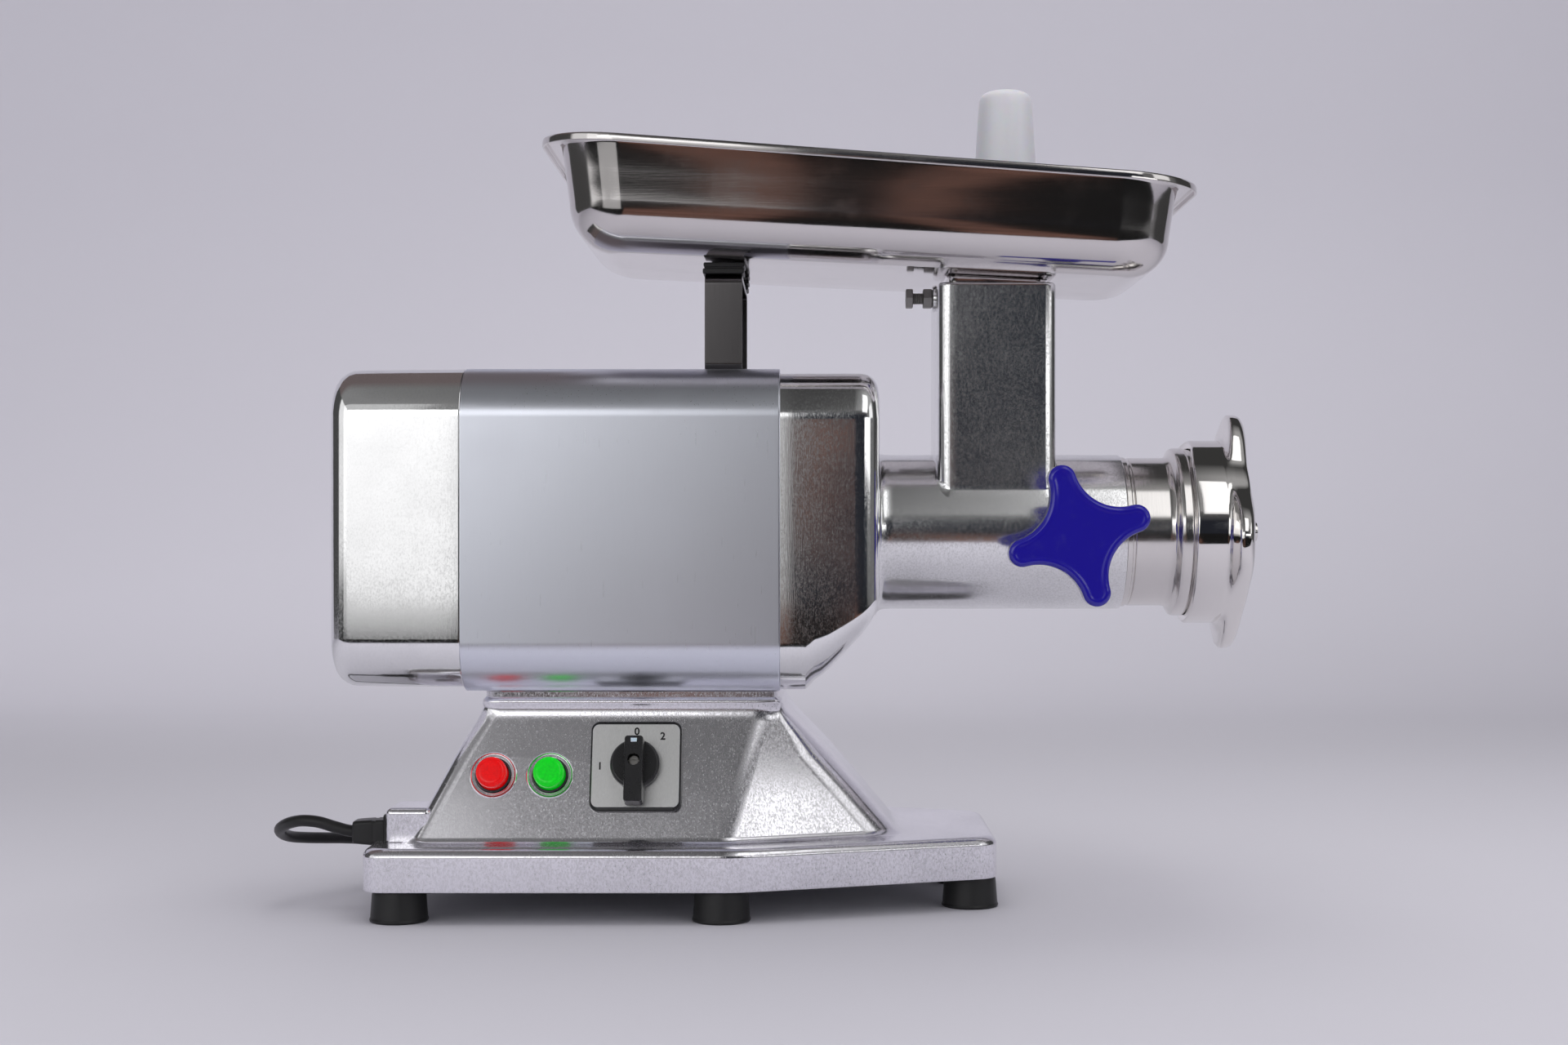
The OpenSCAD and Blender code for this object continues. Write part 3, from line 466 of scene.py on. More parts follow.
def rounded_box_outline(x0, x1, y0, y1, r_low, r_high=None, n=8):
    """A rectangle with round corners; the two at y1 may have their own radius."""
    r_high = r_low if r_high is None else r_high
    return (arc(x0 + r_low, y0 + r_low, r_low, 180, n) + arc(x1 - r_low, y0 + r_low, r_low, 270, n)
            + arc(x1 - r_high, y1 - r_high, r_high, 0, n)
            + arc(x0 + r_high, y1 - r_high, r_high, 90, n))


def soft_corner(before, corner, after, reach, n):
    """n + 1 points on a curve that leaves out a corner, from reach before it to reach after."""
    c = Vector(corner)
    ends = []
    for other in (before, after):
        side = Vector(other) - c
        ends.append(c + side.normalized() * min(reach, 0.48 * side.length))
    return [(1 - t) ** 2 * ends[0] + 2 * t * (1 - t) * c + t * t * ends[1]
            for t in [k / n for k in range(n + 1)]]


def soft_outline(corners, reaches, n=8):
    """A closed outline with each corner rounded from its own reach before it."""
    made = []
    for i, (corner, reach) in enumerate(zip(corners, reaches)):
        made += soft_corner(corners[i - 1], corner, corners[(i + 1) % len(corners)], reach, n)
    return made


def mesh_from(bm, name):
    """A mesh of what a bmesh holds. The bmesh is freed."""
    mesh = bpy.data.meshes.new(name)
    bm.to_mesh(mesh)
    bm.free()
    return mesh


dressed = []


def finished(name, bm, finish, body, stands_for=(), sharp=40, at=None):
    """Turns a bmesh into a piece with its finish, riding on its body."""
    bmesh.ops.remove_doubles(bm, verts=bm.verts, dist=1e-6)
    if at is not None:
        bmesh.ops.transform(bm, matrix=at, verts=bm.verts)
    mesh = mesh_from(bm, name)
    mesh.shade_smooth()
    mesh.set_sharp_from_angle(angle=math.radians(sharp))
    mesh.materials.append(finish)
    piece = link(bpy.data.objects.new(name, mesh))
    dressed.append(piece)
    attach(piece, body)
    if stands_for:
        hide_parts(*stands_for)
    return piece


# %% Turned parts


def soften(profile, n=5):
    """A profile whose corners with a third number are rounded from that far before them."""
    made = []
    for i, (a, r, *far) in enumerate(profile):
        if far:
            made += soft_corner(profile[i - 1][:2], (a, r), profile[i + 1][:2], far[0], n)
        else:
            made.append(Vector((a, r)))
    return made


def spun(bm, profile, steps=96, closed=False):
    """Spins a profile of (along the axis, radius) points round the Z axis."""
    points = soften(profile)
    verts = [bm.verts.new((max(p[1], 0) * mm, 0, p[0] * mm)) for p in points]
    edges = [bm.edges.new(pair) for pair in zip(verts, verts[1:])]
    if closed:
        edges.append(bm.edges.new((verts[-1], verts[0])))
    bmesh.ops.spin(bm, geom=verts + edges, axis=(0, 0, 1), angle=2 * math.pi, steps=steps,
                   use_merge=True)
    bmesh.ops.remove_doubles(bm, verts=bm.verts, dist=1e-6)
    bmesh.ops.recalc_face_normals(bm, faces=bm.faces)
    return bm


def turned(name, profile, finish, body, slot, stands_for=(), at=None, steps=96, closed=False,
           sharp=35):
    return finished(name, spun(bmesh.new(), profile, steps, closed), finish, body,
                    stands_for, sharp, at)


def placed(x, y, z, degrees=0.0, axis="Y"):
    """The matrix that turns a shape about an axis and moves it to a place in millimetres."""
    return (Matrix.Translation(Vector((x, y, z)) * mm)
            @ Matrix.Rotation(math.radians(degrees), 4, axis))


along_axis = placed(0, 0, AXIS_Z, 90)
FACE_LEAN = 18.435   # the pedestal's side leans back by 1 in 3


def on_control_face(x, z):
    """Where the sloped control face is, with its outward direction as +Z."""
    return placed(x, -78 - (143 - z) / 3, z, 90 - FACE_LEAN, "X")


def block(bm, low, high, bevel=0, segments=3):
    """A box between two corners in millimetres, with its edges rounded."""
    low, high = Vector(low) * mm, Vector(high) * mm
    made = bmesh.ops.create_cube(bm, size=1)["verts"]
    bmesh.ops.scale(bm, vec=high - low, verts=made)
    bmesh.ops.translate(bm, vec=(low + high) / 2, verts=made)
    if bevel:
        edges = list({e for v in made for e in v.link_edges})
        bmesh.ops.bevel(bm, geom=edges, offset=bevel * mm, offset_type="OFFSET", affect="EDGES",
                        segments=segments, profile=0.5, material=-1)
    return bm


def rod(bm, r, depth, steps, at):
    """A plain cylinder round the Z axis of at."""
    made = bmesh.ops.create_cone(bm, cap_ends=True, segments=steps, radius1=r * mm,
                                 radius2=r * mm, depth=depth * mm)["verts"]
    bmesh.ops.transform(bm, matrix=at, verts=made)
    return bm


def merged(*shapes):
    """Several bmeshes in one."""
    whole = bmesh.new()
    for shape in shapes:
        mesh = mesh_from(shape, "part")
        whole.from_mesh(mesh)
        bpy.data.meshes.remove(mesh)
    return whole


# %% [markdown]
# ## The base casting
# One thin casting carries everything: a plate with rounded corners whose sides run in towards
# the front, and a pedestal that leans in as it rises to the housing. Seen from above both have
# the same six corners, so one outline is drawn up through the plate, over its round rim, in to
# the pedestal's foot and up to the lip under the housing.

# %% Drawing the base
PLATE_TOP, FOOT_H = 49.5, 21


def plate_at(z, i):
    corners = [(-290 + i, -134 + i), (-46 - 0.2 * i, -134 + i), (127.5 - i, -73 + 0.8 * i),
               (127.5 - i, 73 - 0.8 * i), (-46 - 0.2 * i, 134 - i), (-290 + i, 134 - i)]
    return [(x, y, z) for x, y in soft_outline(corners, [16, 12, 14, 14, 12, 16])]


def pedestal_at(z, t, i):
    rear, half, bend = -265 + 50 * t + i, 108 - 30 * t - i, -54 + 26 * t - 0.3 * i
    front, nose = 62 - 84 * t - i, 65 + 12.5 * t - i
    corners = [(rear, -half), (bend, -half), (front, -nose), (front, nose), (bend, half),
               (rear, half)]
    return [(x, y, z) for x, y in soft_outline(corners, [13, 7, 24, 24, 7, 13])]


quarter = [a * math.pi / 12 for a in range(7)]
RIM_R, FILLET_R = 6, 4
rings = [plate_at(FOOT_H + up, i) for up, i in
         [(2, 5), (0.2, 4.6), (0, 4.2), (0, 1.4), (0.5, 0.3), (1.6, 0)]]
rings += [plate_at(PLATE_TOP - RIM_R * (1 - math.sin(a)), RIM_R * (1 - math.cos(a)))
          for a in quarter]
rings += [pedestal_at(PLATE_TOP + FILLET_R * (1 - math.cos(a)), 0.04 * (1 - math.cos(a)),
                      -FILLET_R * (1 - math.sin(a))) for a in quarter]
rings += [pedestal_at(z, t, i) for z, t, i in
          [(78, 0.29, 0), (105, 0.57, 0), (128, 0.84, 0), (133.5, 0.90, -0.3), (137, 0.94, -1.4),
           (139.4, 0.97, -3.0), (140.6, 0.98, -3.6), (142, 0.99, -3.6), (143.2, 1.0, -3.0),
           (144, 1.0, -2.2), (147.6, 1.0, -2.2), (148, 1.0, -2.8)]]
bm = drawn_shell(rings, close_first=True, close_last=True)
print("base casting:", len(bm.faces), "faces")


def carve(solid_bm, cutter_bm):
    """The first shape with the second cut out of it."""
    pair = [link(bpy.data.objects.new("cutting", mesh_from(shape, "cutting")))
            for shape in (solid_bm, cutter_bm)]
    cut = pair[0].modifiers.new("cut", "BOOLEAN")
    cut.operation, cut.object = "DIFFERENCE", pair[1]
    result = bmesh.new()
    result.from_object(pair[0], bpy.context.evaluated_depsgraph_get())
    for used in pair:
        bpy.data.objects.remove(used)
    return result


BUTTONS = {"red": (-209, 93.3), "green": (-171.3, 93.3)}
drills = bmesh.new()
for place in BUTTONS.values():
    rod(drills, 14.9, 24, 48, on_control_face(*place))
bm = carve(bm, drills)
block(bm, (-279, -103, 47), (-249, -59, 72.4), 4, 5)
finished("base_shell", bm, satin_cast, "housing", ["base_casting"], sharp=32)

# %% [markdown]
# ## Rubber feet and the cord gland
# Each foot is a short cone with a soft lip where it spreads on the table. All six are one
# profile, spun once and copied. The gland is a square block that holds the cord and tapers
# towards it, so that the cord can't be bent sharply where it leaves the metal.

# %% Turning the feet
FEET = [(x, y) for y in (-1, 1) for x, y in ((-268, 112 * y), (-57, 112 * y), (110, 53 * y))]
foot_profile = [(6, 0), (6, 7, 0.6), (0, 7.6, 0.6), (0, 18.8, 0.8), (1.6, 19.4, 0.6),
                (2.6, 18.7, 0.5), (18.4, 17.6, 0.8), (21, 16.9, 0.8), (21, 0)]
bm = spun(bmesh.new(), foot_profile, 64)
one = list(bm.verts) + list(bm.edges) + list(bm.faces)
for x, y in FEET[1:]:
    made = bmesh.ops.duplicate(bm, geom=one)["geom"]
    bmesh.ops.translate(bm, vec=Vector((x - FEET[0][0], y - FEET[0][1], 0)) * mm,
                        verts=[g for g in made if isinstance(g, bmesh.types.BMVert)])
finished("foot_pads", bm, foot_rubber, "housing", ["rubber_feet"],
         at=placed(*FEET[0], 0))

# %% Shaping the gland
GLAND_Y, GLAND_Z = -81, 54.4


def gland_at(x, half_y, low, high, r):
    outline = rounded_box_outline(GLAND_Y - half_y, GLAND_Y + half_y, GLAND_Z - low,
                                  GLAND_Z + high, r, n=5)
    return [(x, y, z) for y, z in outline]


rings = [gland_at(*sizes) for sizes in
         [(-279, 13, 7.4, 12.6, 1.5), (-281.4, 13, 7.4, 12.6, 1.5), (-282, 12.4, 6.8, 12.0, 1.5),
          (-282.3, 9.8, 8.0, 8.6, 2), (-288, 9.5, 8.2, 8.4, 2.2), (-288.6, 9.0, 7.8, 8.0, 2.2),
          (-290.4, 9.0, 7.8, 8.0, 2.2), (-291, 9.4, 8.2, 8.3, 2.2), (-297, 9.1, 8.0, 8.0, 2.4),
          (-302.4, 8.6, 7.6, 7.6, 2.8), (-303.6, 7.8, 6.9, 6.9, 2.8), (-304, 6.6, 5.9, 5.9, 3),
          (-303.8, 4.6, 4.4, 4.4, 4.2), (-300, 4.1, 4.1, 4.1, 4.05)]]
bm = drawn_shell(rings, close_first=True, close_last=True)
finished("gland_block", bm, cord_rubber, "housing", ["cord_gland"])

# %% Fitting the cord and its plug
PLUG_X, PLUG_Y, PLUG_Z, PLUG_END = -96, 178, 19, 56
cord.data.materials.append(cord_rubber)
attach(cord, "housing")
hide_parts("cord", "cord_coil")
plug_parts = [spun(bmesh.new(), [(0, 4.1), (0, 5.4, 0.8), (9, 5.5), (10, 4.9), (11, 5.5),
                                 (14, 5.5), (15, 4.9), (16, 5.5), (20.4, 6, 1), (22, 12, 3),
                                 (25, 17.4, 2), (32, 18.4, 1), (34, 17.6, 0.6), (44, 17.6, 0.6),
                                 (46, 18.4, 0.8), (PLUG_END, 18.4, 1.2), (PLUG_END, 0)], 72)]
for y in (-9.5, 9.5):
    pin = spun(bmesh.new(), [(55, 0), (55, 2.4), (64, 2.4, 0.1), (64.3, 2.2), (73.6, 2.2, 1),
                             (75, 1.2, 0.6), (75, 0)], 24)
    bmesh.ops.translate(pin, vec=(0, y * mm, 0), verts=pin.verts)
    plug_parts.append(pin)
plug = finished("mains_plug", merged(*plug_parts), cord_rubber, "housing",
                ["plug"], at=placed(PLUG_X, PLUG_Y, PLUG_Z, 90))
plug.data.materials.append(machined)
for face in plug.data.polygons:
    face.material_index = int(face.center.x > (PLUG_X + PLUG_END + 0.2) * mm)

# %% [markdown]
# ## The motor housing
# Three shells in a row make the housing: a cast cap behind, a wrapped steel sleeve, and the
# gear case in front. All have one section, a rectangle with large corners, so each is that
# section drawn along X. The cap ends in a rounded rim, and the gear case's underside sweeps up
# to its front while its lower corners tighten.

# %% Rear cap and sleeve


def section(x, half, z0, z1, r, r_low=None):
    """The housing's section at x: half its width, its heights, its corner radii."""
    r_low = r if r_low is None else r_low
    return [(x, y, z) for y, z in rounded_box_outline(-half, half, z0, z1, r_low, r, n=12)]


def inset_section(x, i, half, z0, z1, r):
    return section(x, half - i, z0 + i, z1 - i, max(r - i, 1.5))


CAP, CAP_R = (109.6, 150.6, 363.6, 33.6), 15
stations = [(-226, 2.2), (-226, 1.4), (-229.2, 1.2), (-229.3, 0.3), (-230, 0), (-262, 0.25),
            (-290, 0.6)]
stations += [(-301 - CAP_R * math.sin(a), 0.8 + CAP_R * (1 - math.cos(a))) for a in quarter]
stations += [(-316.2, 34), (-316.3, 60), (-316.3, 90)]
bm = drawn_shell([inset_section(x, i, *CAP) for x, i in stations], close_last=True)
finished("rear_cap_shell", bm, polished_cast, "housing", ["rear_cap"])

SLEEVE = (110, 148, 364, 34)
stations = [(-228.9, 0.5), (-228.6, 0.1), (-228, 0), (-124, 0), (-20, 0), (-19.3, 0.12),
            (-19, 0.6), (-19, 2), (-228.9, 2)]
bm = drawn_shell([inset_section(x, i, *SLEEVE) for x, i in stations], loop=True)
finished("sleeve_sheet", bm, brushed_sleeve, "housing", ["motor_sleeve"])

# %% Gear case


CASE_FLOOR, CASE_R, FRONT_R = 149, 32.5, 13


def case_at(x, i=0.0):
    """The gear case's section: its floor rises and its lower corners tighten to the front."""
    low = CASE_FLOOR
    if x > -8:
        bend = 4 * math.exp(-((x - 1) / 7) ** 2)     # rounds the line where the slope starts
        low += max(0, x - 1 + bend) * 51 / 46 * ease(min(1, (x + 8) / 14))
    tight = CASE_R + (FRONT_R - CASE_R) * ease(min(max((x + 6) / 53, 0), 1))
    return section(x, 108.5 - i, low + i, 361 - i, max(CASE_R - i, 2), max(tight - i, 2))


stations = [-18.6, -8, -5, -2, 1, 4, 8, 13, 19, 25, 30, 34.5]
rings = [case_at(-22, 2.4), case_at(-19.2, 2.4), case_at(-19.2, 0.6), case_at(-18.9, 0.15)]
rings += [case_at(x) for x in stations]
rings += [case_at(35 + 12 * math.sin(a), 12 * (1 - math.cos(a))) for a in quarter[1:]]
rings += [case_at(47, 30), case_at(47, 60)]
bm = drawn_shell(rings, close_last=True)
finished("gear_case_shell", bm, polished_cast, "housing", ["gear_case"],
         sharp=30)

# %% [markdown]
# ## The feed head
# The head is one casting: a barrel that lies level, and a square neck that stands on it. The
# barrel is a spun profile. The neck is an outline pulled down from its rim until it meets the
# barrel, where the last rings spread out a little: that is the small fillet which every real
# casting has in a corner. The way through is cut from the barrel with a Boolean.

# %% Casting the barrel and neck
BARREL_R, BORE_R = 54.2, 48.2
NECK = (89, 170, 47, 8)      # its two faces along the machine, half its width, corner radius


def side_points(a, b, n):
    return [tuple(Vector(a).lerp(Vector(b), k / n)) for k in range(1, n)]


def neck_outline(x0, x1, half, r):
    """A rounded rectangle with extra points along its sides, so that it can bend."""
    points = rounded_box_outline(x0, x1, -half, half, r, n=6)
    corners = [points[k:k + 7] for k in range(0, 28, 7)]
    made = []
    for k, corner in enumerate(corners):
        steps = 12 if k % 2 == 0 else 20
        made += corner + side_points(corner[-1], corners[(k + 1) % 4][0], steps)
    return made


def on_barrel(y, radius):
    return AXIS_Z + math.sqrt(max(radius ** 2 - y ** 2, 9))


def neck_ring(grow, z, shape=NECK):
    """An outline of the neck, grown sideways, at a height."""
    x0, x1, half, r = shape
    outline = neck_outline(x0 - grow, x1 + grow, half + grow, r + grow)
    return [(x, y, z) for x, y in outline]


def saddle_ring(grow, above, shape=NECK, radius=BARREL_R):
    """The same outline, so far above a barrel of that radius."""
    return [(x, y, on_barrel(y, radius) + above) for x, y, _ in neck_ring(grow, 0, shape)]


SEAT, CHUTE = (96, 163, 40, 6), (99, 160, 38, 5)
rings = [saddle_ring(grow, above) for grow, above in
         [(2.8, -0.25), (1.7, 0.12), (0.85, 0.6), (0.3, 1.4), (0.05, 2.6), (0, 4.5)]]
rings += [neck_ring(grow, z) for grow, z in
          [(0, 340), (0, 395), (0, 423.6), (-0.35, 425.2), (-1.4, 426)]]
rings += [neck_ring(grow, z, SEAT) for grow, z in [(0, 426), (-0.4, 425.4), (-0.4, 401.4)]]
rings += [neck_ring(0, 401, CHUTE), neck_ring(0, 360, CHUTE),
          saddle_ring(0, -0.4, CHUTE, BORE_R)]
neck = drawn_shell(rings)

barrel = spun(bmesh.new(), [(47, 27.6), (47, 59.2, 0.5), (48.3, 56.4), (50.4, 55.0),
                            (53.5, 54.35), (58, BARREL_R), (130, BARREL_R),
                            (218, BARREL_R, 0.5), (218, BORE_R, 0.4), (75, BORE_R), (75, 26.1),
                            (66, 26.1), (66, 18.2), (63, 18.2), (63, 27.6)], 128, True)
boss = spun(bmesh.new(), [(46, 5.2), (46, 14.6), (52.5, 13.2, 2), (65, 13, 0.8), (66, 12.2, 0.4),
                          (66, 5.2)], 48, True)
pad = spun(bmesh.new(), [(3, 0), (3, 9.6), (1.2, 9.1, 0.5), (0.6, 9, 0.4), (0, 8.2),
                         (0, 4.1)], 40)
KNOB_X, KNOB_Z, BOLT_Z = 179.5, 252, 419.5
across = placed(KNOB_X, 0, KNOB_Z, 90, "X")
for shape, at in ((barrel, along_axis), (boss, across), (pad, placed(87.2, 0, BOLT_Z, 90))):
    bmesh.ops.transform(shape, matrix=at, verts=shape.verts)
barrel = carve(barrel, block(bmesh.new(), (99.2, -37.8, 262), (159.8, 37.8, 330)))
head = merged(barrel, neck, boss, pad)
print("feed head:", len(head.faces), "faces")
finished("feed_head_casting", head, bright_cast, "housing", ["feed_housing"])

# %% [markdown]
# ## The stainless nozzle
# A turned part with a spigot in the barrel, a shallow groove where it comes out, and a shoulder
# with a cove in front of the thread. Turned parts live from their small steps, so the
# profile keeps each of them, and only breaks the sharp corners.

# %% Turning the nozzle
turned("nozzle_turned",
       [(172, 43.8), (172, 48.0, 0.6), (218.3, 48.1), (218.3, 52.6, 0.5), (221.8, 52.6, 0.5),
        (222.3, 51, 0.3), (223.8, 51, 0.3), (224.3, 52, 0.4), (248.6, 52, 1.5),
        (251.6, 52.9, 1.2), (253.2, 55.5, 1.4), (254.2, 58.4, 0.8), (256.4, 59, 0.8),
        (261.6, 59, 0.6), (263, 58.3), (263, 57.8), (282.4, 57.8), (283, 57.2), (283, 50),
        (262, 50), (262, 43.8)],
       nozzle_steel, "housing", "stainless", ["head_nozzle"], along_axis, 144, True)

# %% [markdown]
# ## The ring nut
# The ring that holds the plate is a short cylinder with a flared face and four lugs to push it
# round by hand. One ring of points, whose distance from the axis swells at each lug, is pulled
# along the axis; the lugs lean back as they reach out, so those points also slide rearwards.

# %% Pulling the ring nut
LUG_TURN = 7


def lug_at(degrees):
    """1 on a lug, 0 between the lugs, and a smooth flank between."""
    off = abs((degrees - LUG_TURN + 45) % 90 - 45)
    return ease(min(max((38 - off) / 34, 0), 1))


def nut_ring(x, r, reach=0.0, back=0.0):
    """A ring of the nut: at a lug it goes out by reach and leans back."""
    made = []
    for k in range(180):
        lug, a = lug_at(2 * k), math.radians(2 * k)
        out, lean = r + reach * lug, (back - 3.4 * max(0, math.sin(a))) * lug
        made.append((x - lean, out * math.cos(a), AXIS_Z + out * math.sin(a)))
    return made


rings = [nut_ring(*sizes) for sizes in
         [(264.4, 58.2), (263.6, 59), (263.3, 61.8), (263.7, 63.4), (264.8, 64.2), (275, 64.2),
          (284.0, 64.2), (285.4, 63.8, 0.4), (287.2, 63.6, 2.5, 0.2), (288.6, 63.6, 8.5, 0.5),
          (289.6, 63.5, 14.2, 1.0), (290.8, 63.4, 17.6, 1.4), (292.2, 63.3, 18.9, 1.7),
          (294.4, 63, 19.3, 1.9), (297.4, 62.7, 19.4, 2.0), (299.4, 62.4, 18.6, 1.9),
          (300.8, 61.8, 16.2, 1.4), (301.6, 60.6, 12.0, 0.8), (301.9, 58, 6.0, 0.3), (302, 52),
          (302, 46.4), (301.4, 44.8), (300, 44.1), (286, 44), (285, 44.6), (284.9, 58.1)]]
bm = drawn_shell(rings, loop=True)
finished("ring_nut_polished", bm, ring_steel, "ring", ["ring_nut"], sharp=50)

# %% [markdown]
# ## The star knob
# Four rounded arms joined by wide hollows. Each tip and each hollow is part of a circle, so the
# outline is drawn from eight arcs that touch; growing or shrinking every radius by the same
# amount gives an even inset, which makes the soft edge.

# %% Moulding the knob
TIP_R, TIP_AT, HOLLOW_R, HOLLOW_AT, STAR_TURN = 9.3, 39.5, 31.05, 57.05, 17


def star_outline(inset):
    """The knob's outline, moved inwards by inset."""
    hollow = HOLLOW_AT * math.sqrt(0.5)
    meet = math.atan2(hollow, hollow - TIP_AT)
    made = []
    for arm in range(4):
        turn = Matrix.Rotation(math.radians(90 * arm + STAR_TURN), 2)
        for k in range(15):
            a = meet * (k / 7 - 1)
            made.append(turn @ Vector((TIP_AT + (TIP_R - inset) * math.cos(a),
                                       (TIP_R - inset) * math.sin(a))))
        for k in range(1, 16):
            a = math.pi + meet + (math.pi / 2 - 2 * meet) * k / 16
            made.append(turn @ Vector((hollow + (HOLLOW_R + inset) * math.cos(a),
                                       hollow + (HOLLOW_R + inset) * math.sin(a))))
    return made


def star_ring(z, inset):
    return [(x, y, z) for x, y in star_outline(inset)]


STAR_BACK, STAR_FACE, BACK_R, FACE_R = 84, 99, 2.56, 3.2
rings = [star_ring(STAR_BACK, 6), star_ring(STAR_BACK, BACK_R)]
rings += [star_ring(STAR_BACK + BACK_R * (1 - math.sin(a)), BACK_R * (1 - math.cos(a)))
          for a in reversed(quarter[:-1])]
rings += [star_ring(STAR_FACE - FACE_R * (1 - math.sin(a)), FACE_R * (1 - math.cos(a)))
          for a in quarter]
rings += [star_ring(98.8, 4.6), star_ring(98.5, 6.4)]
star = drawn_shell(rings, close_first=True, close_last=True)
hub = spun(bmesh.new(), [(66.8, 5.2), (66.8, 12.6), (68, 14, 0.6), (79, 14, 1), (84.6, 16.5, 2),
                         (86, 18)], 64)
finished("star_knob_moulded", merged(star, hub), knob_blue, "knob", ["lock_knob"],
         at=across, sharp=50)

# %% [markdown]
# ## Bolt and nut at the neck
# A hexagon bolt clamps the tray's spout. Its head and nut are six-sided blanks with the corners
# turned off, and its thread is a zigzag profile that is spun like the rest.

# %% Making the fasteners


def hexagon(z0, z1, r, hole=0.0):
    """A six-sided blank with its corner ends broken."""
    bm = rod(bmesh.new(), r, z1 - z0, 6, placed(0, 0, (z0 + z1) / 2))
    rims = [e for e in bm.edges if abs(e.verts[0].co.z - e.verts[1].co.z) < 1e-6]
    bmesh.ops.bevel(bm, geom=rims, offset=0.7 * mm, offset_type="OFFSET", affect="EDGES",
                    segments=2, profile=0.5, material=-1)
    if hole:
        bm = carve(bm, rod(bmesh.new(), hole, 60, 32, Matrix()))
    return bm


def thread(z0, z1, r, pitch=1.25):
    """A spun zigzag that reads as a thread."""
    profile, z = [(z0, 0), (z0, r)], z0
    while z + pitch < z1 - 0.8:
        profile += [(z + pitch * 0.45, r), (z + pitch * 0.75, r - 0.55), (z + pitch, r)]
        z += pitch
    return spun(bmesh.new(), profile + [(z1 - 0.8, r), (z1, r - 0.8), (z1, 0)], 28)


bolt_at = placed(0, 0, BOLT_Z, 90)
finished("neck_bolt_head", merged(hexagon(68.6, 73.6, 7.5), thread(73.4, 96.1, 4)), bolt_steel,
         "housing", ["neck_bolt"], at=bolt_at, sharp=30)
finished("neck_nut_blank", hexagon(80.7, 87.1, 7.5, 4.05), bolt_steel, "housing",
         ["neck_nut"], at=bolt_at, sharp=30)

# %% [markdown]
# ## The feed tray
# The tray is a deep pressing with a sloping rim, so its floor and rim are two tilted planes.
# Each ring lies between them: the outline grows as it climbs the wall, sweeps round the big
# fillet at the floor, and ends in a flat flange that is turned down at its edge. The metal is
# thin, so the same rings go back down inside.

# %% Pressing the tray


TRAY_X, TRAY_FLOOR, TRAY_RIM = 41, 434.4, 502.6      # the tray's middle and its heights there
TRAY_DEPTH = TRAY_RIM - TRAY_FLOOR


def rim_at(x):
    return TRAY_RIM - math.tan(math.radians(4.15)) * (x - TRAY_X)


def floor_at(x):
    return TRAY_FLOOR - math.tan(math.radians(2.7)) * (x - TRAY_X)


def tray_ring(x0, x1, half, r, share, dz=0.0):
    """An outline that lies so far up between the floor (0) and the rim (1)."""
    return [(x, y, floor_at(x) + share * (rim_at(x) - floor_at(x)) + dz)
            for x, y in rounded_box_outline(x0, x1, -half, half, r, n=14)]


def spout_ring(x0, x1, half, r, z):
    return [(x, y, z) for x, y in rounded_box_outline(x0, x1, -half, half, r, n=14)]


REAR, FRONT, SIDE, DRAFT, FILLET, SHEET = -161.5, 243.5, 103, 5, 30, 1.5


def fillet_ring(a, t):
    inward = (FILLET - t) * (1 - math.sin(a)) + t
    return tray_ring(REAR + inward, FRONT - inward, SIDE - inward, max(40 - 0.9 * inward, 6),
                     (FILLET - t) * (1 - math.cos(a)) / TRAY_DEPTH, t)


def wall_ring(share, t):
    """The straight wall above the fillet, leaning out to the rim."""
    grow = DRAFT * share - t
    low = FILLET / TRAY_DEPTH
    return tray_ring(REAR - grow, FRONT + grow, SIDE + grow, 40 + 2 * share - t,
                     low + (0.985 - low) * share)


def flange_ring(out, dz):
    return tray_ring(REAR - DRAFT - out, FRONT + DRAFT + out, SIDE + DRAFT + out, 42 + out, 1, dz)


turn = [math.radians(9 * k) for k in range(11)]
rings = [spout_ring(97.3, 161.7, 38.9, 4.6, 401.5), spout_ring(96.9, 162.1, 39.3, 5, 402.5),
         spout_ring(96.9, 162.1, 39.3, 5, 424), tray_ring(96.2, 162.8, 40, 6, 0, -2),
         tray_ring(95.2, 163.8, 41, 7.5, 0, -0.5), tray_ring(93, 166, 43.5, 9, 0)]
rings += [fillet_ring(a, 0) for a in turn] + [wall_ring(k / 4, 0) for k in (1, 2, 3)]
rings += [flange_ring(out, dz) for out, dz in
          [(0, -4.5), (0.35, -2.6), (1.6, -1.6), (10.8, -1.5), (11.4, -1.9), (11.6, -2.8),
           (11.6, -4.9), (12.0, -5.2), (12.6, -5.2), (13, -4.8), (13, -1.6), (12.6, -0.5),
           (11.6, 0), (1.5, 0), (-0.4, -0.6), (-1.4, -2.2)]]
rings += [wall_ring(k / 4, SHEET) for k in (3, 2, 1)]
rings += [fillet_ring(a, SHEET) for a in reversed(turn)]
rings += [tray_ring(93, 166, 43.5, 9, 0, SHEET), tray_ring(96.2, 162.8, 40.4, 7, 0, SHEET - 0.3),
          tray_ring(97.8, 161.2, 38.6, 5.4, 0, -1.5), spout_ring(98.4, 160.6, 37.8, 4, 424),
          spout_ring(98.4, 160.6, 37.8, 4, 402.5), spout_ring(97.8, 161.2, 38.4, 4.3, 401.6)]
bm = drawn_shell(rings, loop=True)
print("tray:", len(bm.faces), "faces")
finished("tray_pressing", bm, tray_steel, "tray", ["tray_pan"], sharp=50)

# %% [markdown]
# ## The tray's support
# The rear of the tray rests on a bracket: a steel strap bent into a hoop, with its feet turned
# in and screwed to the sleeve. A strap is a line that is drawn sideways and then thickened. Two
# ribbed rubber pads sit on top.

